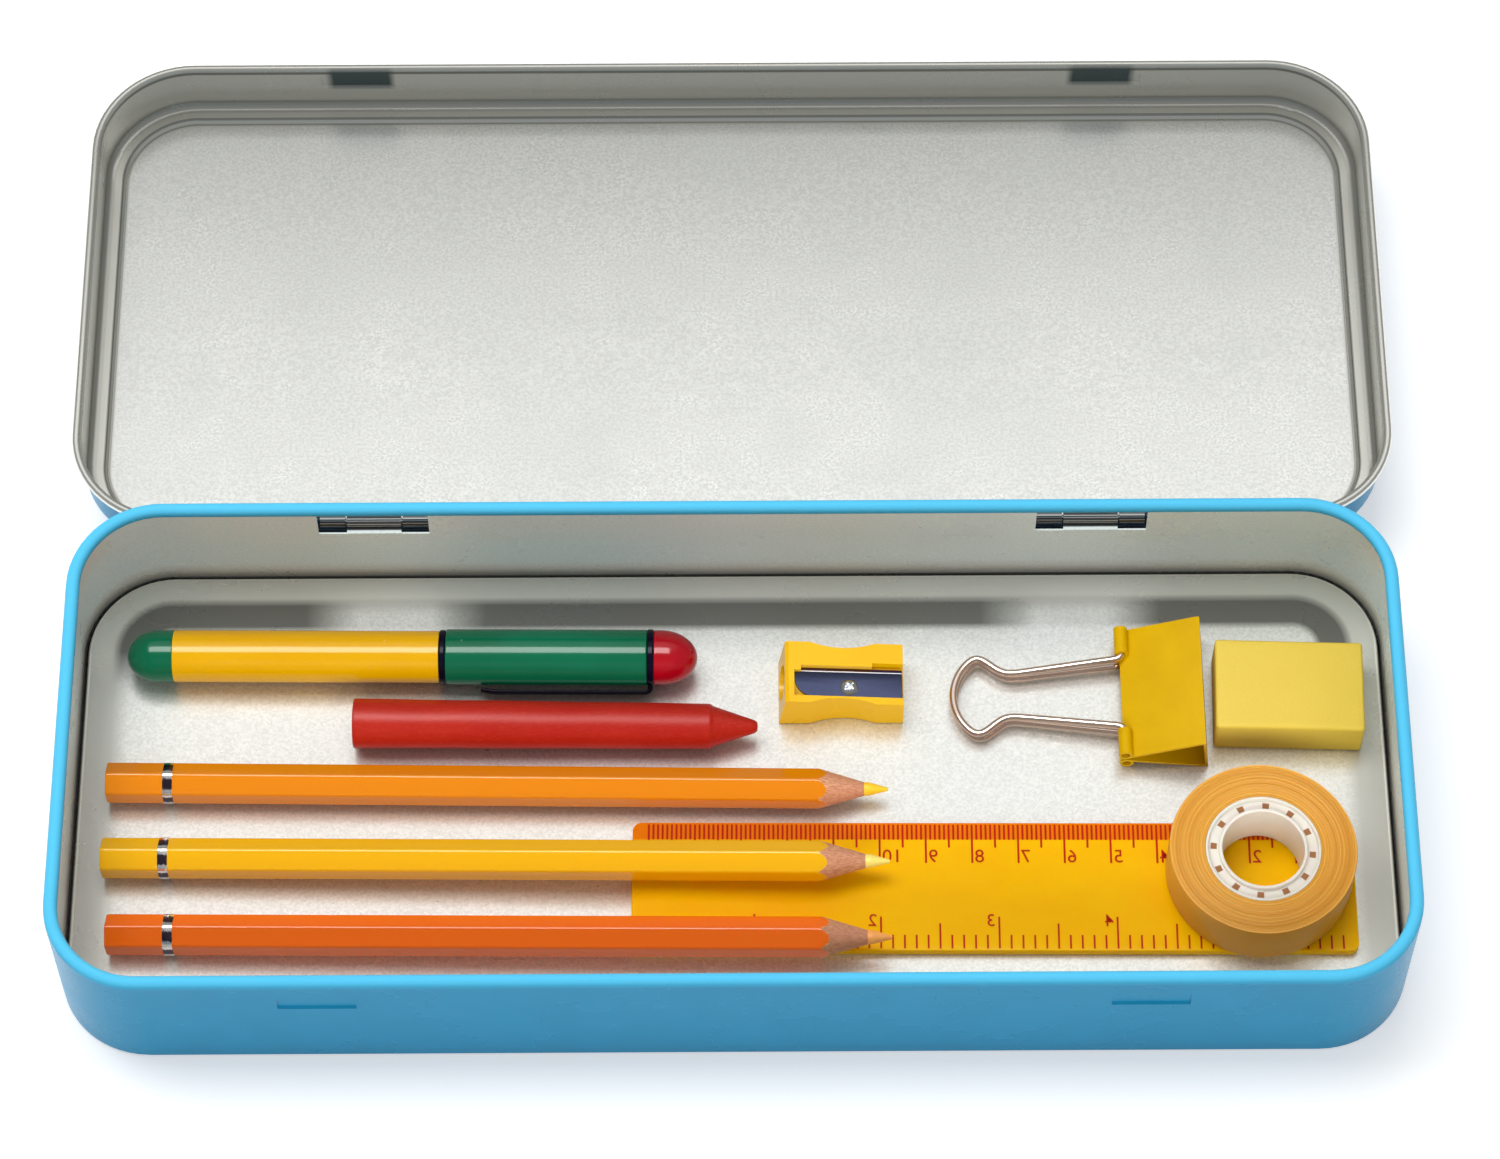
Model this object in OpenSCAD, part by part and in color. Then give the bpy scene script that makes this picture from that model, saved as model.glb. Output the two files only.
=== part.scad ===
// A hinged tinplate pencil tin, standing open, with what is kept in it.
// Millimetres, +Z up. The origin is on the plane that the tin stands on, under the middle of its base,
// with the length along X and the hinge side towards +Y. The lid is drawn open, as it rests.

/* [Tin base] */
// Length of the base over its walls
base_len = 288.5; // [285:0.5:340]
// Width of the base over its walls
base_wid = 116; // [115:0.5:150]
// Height of the base to the top of its rolled rim
base_h = 35.5; // [30:0.5:48]
// Outer radius of the base's upright corners
corner_r = 20; // [14:0.5:30]
// Thickness of the tinplate
sheet = 0.4; // [0.3:0.05:0.6]
// Radius of the base's rim, rolled inwards
base_bead_r = 1.5; // [1.2:0.1:2]
// Height of the raised floor above the foot
floor_rise = 3; // [2:0.1:5]
// Distance from the outside of the wall to the edge of the raised floor
floor_inset = 1.2; // [1.1:0.1:3]
// Radius of the raised floor's edge
floor_edge_r = 1; // [0.8:0.1:1.6]
// Radius where the wall meets the foot
foot_r = 0.8; // [0.7:0.1:1.2]

/* [Lid] */
// Space between the base's wall and the lid's wall
lid_gap = 0.7; // [0.7:0.05:1.5]
// Radius of the lid's rim, rolled outwards
lid_bead_r = 1; // [0.8:0.05:1.2]
// Inner radius where the lid's wall meets its top
lid_edge_r = 1.6; // [1:0.1:2]
// Width of the flat margin round the lid's panel
lid_margin = 3.6; // [2.8:0.1:8]
// How far the lid's panel stands above the margin
panel_step = 1; // [0.5:0.1:2]
// Angle through which the lid opens
open_angle = 179.2; // [100:0.2:180]

/* [Hinges] */
// Distance of each hinge from the middle of the tin
hinge_x = 79; // [50:0.5:100]
// Height of the hinge axis
hinge_z = 22.6; // [19:0.1:24]
// Distance from the base's wall to the hinge axis
hinge_out = 2.1; // [2:0.05:3]
// Outer radius of the rolled knuckles
knuckle_r = 1.25; // [1.15:0.05:1.5]
// Radius of the hinge wire
pin_r = 0.6; // [0.4:0.05:0.7]
// Length of the knuckle on the base
base_knuckle = 12; // [8:0.5:14]
// Length of each of the two knuckles on the lid
lid_knuckle = 5.6; // [4:0.2:8]
// Width of the window in the base's wall
window_w = 24.4; // [20:0.2:36]

/* [Catches] */
// Distance of each catch from the middle of the tin
catch_x = 87; // [60:0.5:100]
// Width of a catch
catch_w = 16.5; // [10:0.5:24]
// Height of a catch
catch_h = 4.4; // [3:0.1:6]
// Depth of a catch
catch_depth = 0.5; // [0.3:0.05:0.6]
// Height of the middle of a catch with the lid closed
catch_z = 26.2; // [25.8:0.1:27]

/* [Pencils] */
// Length of each pencil
pencil_len = 170; // [120:1:172]
// Distance across a pencil's corners
pencil_d = 9; // [7:0.1:10]
// Diameter of the coloured lead
lead_d = 3; // [2.4:0.1:4.4]
// Length of the sharpened cone
pencil_cone = 15.5; // [12:0.5:24]
// Distance of the foil band from the butt
band_at = 12.6; // [6:0.2:30]
// Width of the foil band
band_w = 2.1; // [1:0.1:5]

/* [Pen] */
// Length of the pen over both ends
pen_len = 125.6; // [110:0.2:128]
// Diameter of the pen's barrel
barrel_d = 11.5; // [10:0.1:12]
// Diameter of the pen's cap
cap_d = 12.3; // [11.4:0.1:13]
// Length of the cap's green tube
cap_len = 44.2; // [36:0.2:48]
// Length of the rounded plug at the barrel's end
plug_len = 10.4; // [7:0.1:14]
// Length of the rounded tip of the cap
cap_tip_len = 9.6; // [7:0.1:12]
// Width of the black rings
ring_w = 1.5; // [1:0.1:3]

/* [Crayon and eraser] */
// Length of the crayon
crayon_len = 88.4; // [60:0.2:92]
// Diameter of the crayon
crayon_d = 11; // [8:0.1:11.4]
// Diameter of the crayon at its shoulder
crayon_end_d = 10.1; // [7:0.1:11]
// Length of the eraser
eraser_len = 32.4; // [20:0.2:33]
// Width of the eraser
eraser_wid = 21.9; // [14:0.1:24]
// Height of the eraser
eraser_h = 10; // [6:0.1:14]
// Width of the eraser's bevelled edges
eraser_bevel = 0.8; // [0.3:0.1:2]

/* [Ruler and tape] */
// Length of the ruler
ruler_len = 156; // [120:1:157]
// Width of the ruler
ruler_wid = 30.5; // [28:0.1:32]
// Thickness of the ruler
ruler_t = 2.2; // [1.5:0.1:3]
// Outer diameter of the tape roll
tape_d = 40.2; // [34:0.2:42]
// Outer diameter of the tape's plastic core
core_d = 24.8; // [20:0.2:27]
// Width of the tape
tape_w = 12; // [8:0.5:15]

/* [Sharpener] */
// Length of the sharpener
sharp_len = 27.3; // [22:0.1:28]
// Width of the sharpener
sharp_wid = 15; // [14.4:0.1:16]
// Height of the sharpener at its pencil hole
sharp_h = 10.4; // [10:0.1:13]
// Diameter of the pencil hole at its mouth
sharp_hole = 7.8; // [7:0.1:8.2]

/* [Binder clip] */
// Width of the clip's spring
clip_w = 31.5; // [25:0.1:32]
// Length of each of the spring's two legs
clip_leg = 18.1; // [16:0.1:19]
// Height of the spring's spine
clip_spine = 10.8; // [9:0.1:13]
// Thickness of the spring's sheet
clip_t = 0.6; // [0.4:0.05:0.7]
// Length of each wire handle
handle_len = 37.4; // [30:0.2:38]
// Radius of the handle's wire
wire_r = 0.85; // [0.5:0.05:0.9]

/* [Hidden] */
$fn = 48;
fine = 96;

cut = 0.01;                                  // what a cutter reaches past the face it cuts
seat = 0.15;                                 // air under a piece that lies on another
push_fit = 0.02;                             // air round a piece that is pushed into another
floor_z = floor_rise + sheet;                // top of the raised floor
ruler_top = floor_z + seat + ruler_t;
hinge_y = base_wid / 2 + hinge_out;
rim_z = hinge_z - 0.6;                       // middle of the lid's rim with the lid closed
lid_top = base_h + 0.1;                      // underside of the closed lid's margin
knuckle_gap = 0.3;
window_z = hinge_z - knuckle_r;              // bottom edge of the hinge window
panel_run = 0.8;                             // width of the sloping step round the lid's panel
lap = 0.5;                                   // how far a rim's own sheet runs into the flat it carries

// ---------- the tin ----------

module rounded_rect(l, w, r) {
    square([l, w - 2 * r], center = true);
    square([l - 2 * r, w], center = true);
    for (sx = [-1, 1], sy = [-1, 1])
        translate([sx * (l / 2 - r), sy * (w / 2 - r)]) circle(r, $fn = fine);
}

// Carries a profile round a rounded rectangle: x = 0 of the profile runs on the outline, +x outwards
module round_the_rim(l, w, r) {
    for (i = [0:3]) {
        sx = (i == 0 || i == 3) ? 1 : -1;
        sy = i < 2 ? 1 : -1;
        translate([sx * (l / 2 - r), sy * (w / 2 - r), 0]) rotate([0, 0, 90 * i])
            rotate_extrude(angle = 90, $fn = fine) translate([r, 0]) children();
    }
    for (s = [0, 180]) {
        rotate([0, 0, s]) translate([l / 2, 0, 0]) rotate([90, 0, 0])
            linear_extrude(height = w - 2 * r, center = true) children();
        rotate([0, 0, s + 90]) translate([w / 2, 0, 0]) rotate([90, 0, 0])
            linear_extrude(height = l - 2 * r, center = true) children();
    }
}

// Quarter of a ring with its middle at the origin, in the quadrant that sx and sy point to
module quarter_ring(r_out, t, sx, sy) {
    intersection() {
        difference() {
            circle(r_out);
            circle(r_out - t);
        }
        translate([sx > 0 ? 0 : -r_out, sy > 0 ? 0 : -r_out]) square(r_out);
    }
}

// A rolled edge: a ring of sheet with a gap where its end comes round
module curl(r, gap_at) {
    difference() {
        circle(r);
        circle(r - sheet);
        rotate(gap_at) translate([r - sheet / 2, 0]) square([2 * sheet, r / 2], center = true);
    }
}

module base_profile() {
    translate([-sheet, foot_r]) square([sheet, base_h - base_bead_r - foot_r]);
    translate([-foot_r, foot_r]) quarter_ring(foot_r, sheet, 1, -1);
    translate([-floor_inset - sheet, sheet / 2]) square([sheet, floor_z - floor_edge_r - sheet / 2]);
    translate([-floor_inset - floor_edge_r, floor_z - floor_edge_r]) quarter_ring(floor_edge_r, sheet, 1, 1);
    translate([-floor_inset - floor_edge_r - lap, floor_rise]) square([lap, sheet]);
    translate([-base_bead_r, base_h - base_bead_r]) curl(base_bead_r, 215);
}

// A pressed catch on the front wall: how much of it is cut and how much is added
module catch_block(y, out, grow) {
    for (s = [-1, 1])
        translate([s * catch_x, y, catch_z]) rotate([90, 0, 90])
            linear_extrude(height = catch_w + 2 * grow, center = true)
                polygon([[0, -catch_h / 2 - grow], [0, catch_h / 2 + grow],
                    [out, catch_h / 2 - catch_depth + grow], [out, -catch_h / 2 + catch_depth - grow]]);
}

module hinge_knuckle(length, at) {
    for (s = [-1, 1])
        translate([s * hinge_x + at - length / 2, hinge_y, hinge_z]) rotate([0, 90, 0])
            cylinder(r = knuckle_r, h = length);
}

module pin_bores(clear) {
    for (s = [-1, 1])
        translate([s * hinge_x - window_w, hinge_y, hinge_z]) rotate([0, 90, 0])
            cylinder(r = pin_r + clear, h = 2 * window_w);
}

module base_shell() color("deepskyblue") difference() {
    union() {
        difference() {
            union() {
                round_the_rim(base_len, base_wid, corner_r) base_profile();
                linear_extrude(height = sheet) difference() {
                    rounded_rect(base_len - 2 * foot_r, base_wid - 2 * foot_r, corner_r - foot_r);
                    rounded_rect(base_len - 2 * (floor_inset + sheet), base_wid - 2 * (floor_inset + sheet),
                        corner_r - floor_inset - sheet);
                }
                translate([0, 0, floor_rise]) linear_extrude(height = sheet)
                    rounded_rect(base_len - 2 * (floor_inset + floor_edge_r),
                        base_wid - 2 * (floor_inset + floor_edge_r), corner_r - floor_inset - floor_edge_r);
                catch_block(-base_wid / 2 + sheet, catch_depth, sheet);
            }
            for (s = [-1, 1])
                translate([s * hinge_x - window_w / 2, base_wid / 2 - 2 * sheet, window_z])
                    cube([window_w, 3 * sheet, base_h - 2 * base_bead_r - 0.5 - window_z]);
            catch_block(-base_wid / 2 - cut, catch_depth + cut, 0);
        }
        hinge_knuckle(base_knuckle, 0);
        for (s = [-1, 1])
            translate([s * hinge_x - base_knuckle / 2, base_wid / 2 - sheet, window_z - sheet / 2])
                cube([base_knuckle, hinge_out + sheet, sheet]);
    }
    pin_bores(0.02);
}

module lid_profile() {
    translate([0, rim_z]) square([sheet, lid_top - lid_edge_r - rim_z]);
    translate([-lid_edge_r, lid_top - lid_edge_r]) quarter_ring(lid_edge_r + sheet, sheet, 1, 1);
    translate([-lid_margin, lid_top]) square([lid_margin - lid_edge_r, sheet]);
    polygon([[-lid_margin, lid_top], [-lid_margin, lid_top + sheet],
        [-lid_margin - panel_run, lid_top + panel_step + sheet],
        [-lid_margin - panel_run, lid_top + panel_step]]);
    translate([-lid_margin - panel_run - lap, lid_top + panel_step]) square([lap, sheet]);
    translate([lid_bead_r, rim_z]) curl(lid_bead_r, 60);
}

module closed_lid() {
    l = base_len + 2 * lid_gap;
    w = base_wid + 2 * lid_gap;
    r = corner_r + lid_gap;
    inset = lid_margin + panel_run;
    reach = base_knuckle / 2 + lid_knuckle + 2 * knuckle_gap;
    difference() {
        union() {
            difference() {
                union() {
                    round_the_rim(l, w, r) lid_profile();
                    translate([0, 0, lid_top + panel_step]) linear_extrude(height = sheet)
                        rounded_rect(l - 2 * inset, w - 2 * inset, r - inset);
                    catch_block(-w / 2, -catch_depth - sheet, sheet);
                }
                catch_block(-w / 2 + cut, -catch_depth - cut, 0);
                for (s = [-1, 1])
                    translate([s * hinge_x - reach, w / 2 - cut, rim_z - 2 * lid_bead_r])
                        cube([2 * reach, 4 * lid_bead_r, hinge_z - rim_z + 2 * lid_bead_r]);
            }
            for (s = [-1, 1])
                hinge_knuckle(lid_knuckle, s * (base_knuckle + lid_knuckle + 2 * knuckle_gap) / 2);
        }
        for (s = [-1, 1])
            translate([s * hinge_x - base_knuckle / 2 - knuckle_gap, w / 2 - 1, rim_z - 2 * lid_bead_r])
                cube([base_knuckle + 2 * knuckle_gap, 4, hinge_z + knuckle_r + 0.5 - rim_z + 2 * lid_bead_r]);
        pin_bores(0.05);
    }
}

module lid_shell() color("lightsteelblue")
    translate([0, hinge_y, hinge_z]) rotate([-open_angle, 0, 0]) translate([0, -hinge_y, -hinge_z])
        closed_lid();

module hinge_pins() color("silver") {
    pin_len = base_knuckle + 2 * (lid_knuckle + knuckle_gap);
    for (s = [-1, 1])
        translate([s * hinge_x - pin_len / 2, hinge_y, hinge_z]) rotate([0, 90, 0])
            cylinder(r = pin_r, h = pin_len);
}

// ---------- pencils ----------

left_wall = -base_len / 2;
right_wall = base_len / 2;
ruler_x = right_wall - 10.25 - ruler_len / 2; // middle of the ruler
ruler_left = ruler_x - ruler_len / 2;
pencil_r = pencil_d / 2;
lead_r = lead_d / 2;
foil = 0.08;                                 // thickness of the foil band
butt_skin = 1.5;                             // paint and wood that close the casing over the lead
// Two of the pencils lie across the ruler's end, so they tip up over its thickness
tip_up = atan((ruler_top - floor_z) / (ruler_left - left_wall - 8));

// Each pencil's butt in x and y, its turns in plan and upwards, and what sharpening has taken off it
pencil_at = [[left_wall + 7.85, 3.2, -0.87, 0, 0],
    [left_wall + 7.85, -15, -1.16, tip_up, 0],
    [left_wall + 9.85, -33.2, -1.1, tip_up, 1.8]];
pencil_color = ["orange", "gold", "darkorange"];

module lay_pencil(i) {
    translate([pencil_at[i][0], pencil_at[i][1], floor_z + seat + pencil_r])
        rotate([0, 0, pencil_at[i][2]]) rotate([0, -pencil_at[i][3], 0]) rotate([0, 90, 0]) children();
}

// The outline that a pencil is turned to: a dipped, rounded butt and a sharpened cone with a blunt point
module turned_pencil(i) {
    out = pencil_r + 1;
    dome = 12;
    point = 0.35;
    tip = pencil_len - pencil_at[i][4];
    rotate_extrude($fn = fine) {
        intersection() {
            translate([0, dome]) circle(dome, $fn = 2 * fine);
            square([out, 2]);
        }
        polygon([[0, 2], [out, 2], [out, tip - pencil_cone * out / pencil_r], [point, tip], [0, tip]]);
    }
}

module pencil_casing(i) color(pencil_color[i]) lay_pencil(i) difference() {
    intersection() {
        cylinder(r = pencil_r, h = pencil_len, $fn = 6);
        turned_pencil(i);
    }
    translate([0, 0, butt_skin]) cylinder(r = lead_r + push_fit, h = pencil_len);
}

module pencil_lead(i) color(pencil_color[i]) lay_pencil(i) intersection() {
    translate([0, 0, butt_skin]) cylinder(r = lead_r, h = pencil_len);
    turned_pencil(i);
}

module pencil_band(i) color("silver") lay_pencil(i) translate([0, 0, band_at]) difference() {
    cylinder(r = pencil_r + foil, h = band_w, $fn = 6);
    translate([0, 0, -cut]) cylinder(r = pencil_r, h = band_w + 2 * cut, $fn = 6);
}

// ---------- pen, drawn standing on its plug and then laid down ----------

barrel_r = barrel_d / 2;
cap_r = cap_d / 2;
barrel_z = plug_len;
collar_z = pen_len - cap_tip_len - ring_w - cap_len - ring_w;
cap_z = collar_z + ring_w;
clip_ring_z = cap_z + cap_len;
tip_z = clip_ring_z + ring_w;
barrel_wall = 1.1;
cap_wall = 1.15;
barrel_bore = barrel_r - barrel_wall;
cap_bore = cap_r - cap_wall;
spigot = 4;                                  // how far the plugs reach into their tubes
wadding_air = 0.3;
grip_z = collar_z + ring_w;                  // where the part that is held begins
grip_len = 6;
cone_len = 14;
cone_end_r = 2.2;
nib_r = 1;
nib_seat = 2;                                // how far above the collar's foot the nib stands
nib_out = 5;                                 // what shows of the nib
nib_point = 2;

module lay_pen() {
    translate([left_wall + pen_room * row_ease, 33.6, floor_z + seat + cap_r])
        rotate([0, 0, -0.55]) rotate([0, 90, 0]) children();
}

// A rounded end, domed at the bottom, with its rim at z = length
module bullet(r, length) {
    rotate_extrude($fn = fine) {
        intersection() {
            translate([0, r]) circle(r, $fn = fine);
            square([r, r]);
        }
        translate([0, r]) square([r, length - r]);
    }
}

module tube(r_out, r_in, h) {
    difference() {
        cylinder(r = r_out, h = h);
        translate([0, 0, -cut]) cylinder(r = r_in, h = h + 2 * cut);
    }
}

module pen_end_plug() color("seagreen") lay_pen() {
    bullet(barrel_r, plug_len);
    translate([0, 0, plug_len - cut]) cylinder(r = barrel_bore - push_fit, h = spigot);
}

module pen_barrel() color("gold") lay_pen()
    translate([0, 0, barrel_z]) tube(barrel_r, barrel_bore, collar_z - barrel_z);

module pen_ink_reservoir() color("white") lay_pen()
    translate([0, 0, barrel_z + spigot + 1])
        cylinder(r = barrel_bore - wadding_air, h = collar_z - barrel_z - 2 * spigot - 2);

module pen_collar() color("black") lay_pen()
    translate([0, 0, collar_z]) tube(cap_r - 0.15, barrel_bore, ring_w);

// The section plugs the barrel, fills the collar and tapers to the nib inside the cap
module pen_section() color("dimgray") lay_pen() difference() {
    translate([0, 0, collar_z - spigot]) {
        cylinder(r = barrel_bore - push_fit, h = spigot + ring_w);
        translate([0, 0, spigot + ring_w]) cylinder(r = cap_bore - 0.05, h = grip_len);
        translate([0, 0, spigot + ring_w + grip_len])
            cylinder(r1 = cap_bore - cap_wall, r2 = cone_end_r, h = cone_len);
    }
    translate([0, 0, collar_z]) cylinder(r = nib_r + push_fit, h = cap_len);
}

module pen_nib() color("gray") lay_pen() {
    shaft = ring_w + grip_len + cone_len + nib_out - nib_point - nib_seat;
    translate([0, 0, collar_z + nib_seat]) cylinder(r = nib_r, h = shaft);
    translate([0, 0, collar_z + nib_seat + shaft]) cylinder(r1 = nib_r, r2 = nib_r / 2, h = nib_point);
}

module pen_cap() color("seagreen") lay_pen()
    translate([0, 0, cap_z]) tube(cap_r, cap_bore, cap_len);

module pen_cap_tip() color("firebrick") lay_pen() {
    translate([0, 0, pen_len]) rotate([180, 0, 0]) bullet(cap_r - 0.1, cap_tip_len);
    translate([0, 0, tip_z - ring_w - spigot]) cylinder(r = cap_bore - push_fit, h = spigot + ring_w + cut);
}

clip_side = -62;                             // the side of the cap that the pen clip is on
clip_arm = 38;                               // length of the pen clip's arm
clip_air = 0.9;                              // air between the arm and the cap

// Ring between the cap and its tip, with the clip's arm growing out of it
module pen_clip() color("black") lay_pen() {
    translate([0, 0, clip_ring_z]) tube(cap_r + 0.1, cap_bore, ring_w);
    rotate([0, 0, clip_side]) {
        translate([cap_r, -1.3, clip_ring_z]) cube([clip_air + 1.3, 2.6, ring_w]);
        translate([cap_r + clip_air, -1.3, clip_ring_z + ring_w - clip_arm]) cube([1.3, 2.6, clip_arm]);
        translate([cap_r + clip_air + 0.2, 0, clip_ring_z + ring_w - clip_arm + 1.3]) rotate([0, 90, 0])
            cylinder(r = 1.3, h = 1.1);
        translate([cap_r + clip_air + 0.3, 0, clip_ring_z + ring_w - clip_arm + 2.6]) sphere(r = 0.9);
    }
}

// ---------- crayon and eraser ----------

crayon_r = crayon_d / 2;
crayon_end_r = crayon_end_d / 2;
crayon_cone = 10;
crayon_draft = atan((crayon_r - crayon_end_r) / (crayon_len - crayon_cone));

// Narrows a little from the butt to a small shoulder, and then comes to a blunt cone
module crayon() color("red")
    translate([sharp_x - crayon_room - crayon_len, 16.9, floor_z + seat + crayon_r]) rotate([0, 0, -0.7])
        rotate([0, 90 + crayon_draft, 0]) rotate_extrude($fn = fine)
            polygon([[0, 0], [crayon_r - 0.4, 0], [crayon_r, 0.4], [crayon_end_r, crayon_len - crayon_cone],
                [crayon_end_r - 0.4, crayon_len - crayon_cone + 0.5],
                [crayon_end_r - 0.8, crayon_len - crayon_cone + 0.7],
                [1.8, crayon_len - 0.6], [1.2, crayon_len], [0, crayon_len]]);

// Outline of a bar with its edges taken off
module bevelled(l, w, b) {
    polygon([[-l / 2 + b, -w / 2], [l / 2 - b, -w / 2], [l / 2, -w / 2 + b], [l / 2, w / 2 - b],
        [l / 2 - b, w / 2], [-l / 2 + b, w / 2], [-l / 2, w / 2 - b], [-l / 2, -w / 2 + b]]);
}

module eraser() color("khaki")
    translate([eraser_x, 23.1, floor_z + seat + eraser_h / 2]) rotate([0, 0, -1.9]) intersection() {
        linear_extrude(height = eraser_h, center = true) bevelled(eraser_len, eraser_wid, eraser_bevel);
        rotate([90, 0, 0]) linear_extrude(height = eraser_wid, center = true)
            bevelled(eraser_len, eraser_h, eraser_bevel);
        rotate([90, 0, 90]) linear_extrude(height = eraser_len, center = true)
            bevelled(eraser_wid, eraser_h, eraser_bevel);
    }

// ---------- ruler and tape ----------

ruler_y = -21.75;
ruler_turn = -0.4;
ruler_bevel = 7;                             // width of the thinner strip along the millimetre edge
tape_room = 10.9;                            // from the tape to the right wall
tape_x = right_wall - tape_room - tape_d / 2;
tape_y = -18.9;
core_wall = 1;
core_ring = 3.6;                             // from the tape's inner side to the core's hole
core_hole_r = core_d / 2 - core_ring;
web_t = 1.2;                                 // thickness of the core's web
rib_t = 0.8;

// The ruler lies face down, so the strip that thins towards its edge is underneath
module ruler() color("orange")
    translate([ruler_x, ruler_y, floor_z + seat]) rotate([0, 0, ruler_turn]) difference() {
        linear_extrude(height = ruler_t) rounded_rect(ruler_len, ruler_wid, 2);
        rotate([90, 0, 90]) linear_extrude(height = ruler_len + 2, center = true)
            polygon([[ruler_wid / 2 + cut, -cut], [ruler_wid / 2 - ruler_bevel, -cut],
                [ruler_wid / 2 + cut, ruler_t / 2]]);
    }

module lay_tape() {
    translate([tape_x, tape_y, ruler_top + seat]) children();
}

module tape_roll() color("sandybrown") lay_tape() tube(tape_d / 2, core_d / 2, tape_w);

// Two rings with a web between them, stiffened by ribs
module tape_core() color("white") lay_tape() {
    tube(core_d / 2 - push_fit, core_d / 2 - core_wall, tape_w);
    tube(core_hole_r + core_wall, core_hole_r, tape_w);
    translate([0, 0, (tape_w - web_t) / 2])
        tube(core_d / 2 - core_wall / 2, core_hole_r + core_wall / 2, web_t);
    for (k = [0:11])
        rotate([0, 0, 30 * k]) translate([core_hole_r + core_wall / 2, -rib_t / 2, web_t / 2])
            cube([core_d / 2 - core_hole_r - 1.2 * core_wall, rib_t, tape_w - web_t]);
}

// ---------- sharpener ----------

sharp_y = 26.7;
sharp_drop = 2;                              // how much lower the thin end is than the hole's end
blade_slope = atan(sharp_drop / sharp_len);
blade_t = 0.7;
blade_w = 6;
blade_from = 3.5;                            // distance of the blade from the hole's end
blade_back = 0.35;                           // the blade's cutting edge, measured from the middle
slot_w = 1.35;                               // width of the slot that lets the shavings out
grip_depth = 1.3;
grip_chord = 14.2;
grip_r = (pow(grip_chord / 2, 2) + pow(grip_depth, 2)) / (2 * grip_depth);
screw_x = 15.4;
screw_y = blade_back - 3.6;
screw_r = 0.9;

module lay_sharpener() {
    translate([sharp_x, sharp_y, floor_z + seat]) children();
}

// Places what lies on the sloping top of the sharpener, z = 0 at the bottom of the blade's bed
module on_bed() {
    translate([0, 0, sharp_h - blade_t - 0.5]) rotate([0, blade_slope, 0]) children();
}

// The pencil's hole: straight at the mouth, then a cone whose upper side runs along the blade
module pencil_hole() {
    translate([-3, 0, sharp_h / 2 - 0.5]) rotate([0, -4, 0]) rotate([0, 90, 0]) {
        cylinder(r = sharp_hole / 2, h = 8);
        translate([0, 0, 8]) cylinder(r1 = sharp_hole / 2, r2 = 0.6, h = 19);
    }
}

module sharpener_body() color("gold") lay_sharpener() difference() {
    rotate([90, 0, 0]) linear_extrude(height = sharp_wid, center = true)
        polygon([[0, 0], [sharp_len, 0], [sharp_len, sharp_h - sharp_drop],
            [2.2, sharp_h], [1.4, sharp_h - 0.5]]);
    pencil_hole();
    for (s = [-1, 1])
        translate([sharp_len / 2 + 0.4, s * (sharp_wid / 2 - grip_depth + grip_r), -cut])
            cylinder(r = grip_r, h = sharp_h + 1, $fn = fine);
    on_bed() {
        translate([blade_from - 0.2, blade_back - blade_w - 0.15, 0]) cube([sharp_len, blade_w + 0.3, 3]);
        translate([blade_from + 1.3, blade_back, -1.6]) cube([sharp_len, slot_w, 5]);
        translate([sharp_len - 6.8, blade_back, -0.6]) cube([sharp_len, slot_w + 0.9, 5]);
        translate([screw_x, screw_y, -4.2]) cylinder(r = screw_r + 0.02, h = 5);
    }
}

module sharpener_blade() color("slategray") lay_sharpener() on_bed() difference() {
    rotate([90, 0, 90]) translate([0, 0, blade_from]) linear_extrude(height = sharp_len - blade_from - 0.2)
        polygon([[blade_back - blade_w, 0.02], [blade_back - 0.1, 0.02], [blade_back, 0.12],
            [blade_back - 1.3, blade_t], [blade_back - blade_w, blade_t]]);
    difference() {
        translate([blade_from - cut, blade_back - blade_w - cut, -1]) cube([4.4, 4.4, 3]);
        translate([blade_from + 4.4, blade_back - blade_w + 4.4, -1]) cylinder(r = 4.4, h = 3);
    }
    translate([screw_x, screw_y, -1]) cylinder(r = screw_r + 0.1, h = 3);
}

// Pan-head screw with a cross in its head
module sharpener_screw() color("silver")
    lay_sharpener() on_bed() translate([screw_x, screw_y, 0]) difference() {
    union() {
        translate([0, 0, -4]) cylinder(r = screw_r, h = 4 + blade_t + 0.1);
        translate([0, 0, blade_t + 0.02]) rotate_extrude() intersection() {
            translate([0, -1.3]) circle(r = 2.3);
            square([1.9, 1.2]);
        }
    }
    for (a = [45, 135])
        rotate([0, 0, a]) translate([-1.1, -0.25, blade_t + 0.45]) cube([2.2, 0.5, 2]);
}

// ---------- binder clip, drawn about its own middle plane and then laid on one leg ----------

spring_y = 23.9;
curl_len = 6.4;                              // length of each curl that holds a wire's end
curl_in = wire_r + 0.06;
curl_out = curl_in + clip_t;
lip_gap = 0.1;                               // half of the gap between the closed lips
spine_half = clip_spine / 2;
spine_at = sqrt(pow(clip_leg, 2) - pow(spine_half - clip_t - lip_gap, 2));
leg_slope = asin((spine_half - clip_t - lip_gap) / clip_leg);
curl_x = 0.9 * cos(leg_slope) - (clip_t + curl_in) * sin(leg_slope);
curl_z = lip_gap + 0.9 * sin(leg_slope) + (clip_t + curl_in) * cos(leg_slope);
rest_x = spine_at + clip_t - curl_x;
rest_z = spine_half - curl_z;
clip_tilt = atan(rest_z / rest_x) - asin(curl_out / norm([rest_x, rest_z]));
clip_lift = floor_z + seat - (curl_x * sin(clip_tilt) - curl_z * cos(clip_tilt) - curl_out);
spine_reach = (spine_at + clip_t) * cos(clip_tilt) + spine_half * sin(clip_tilt);
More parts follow.
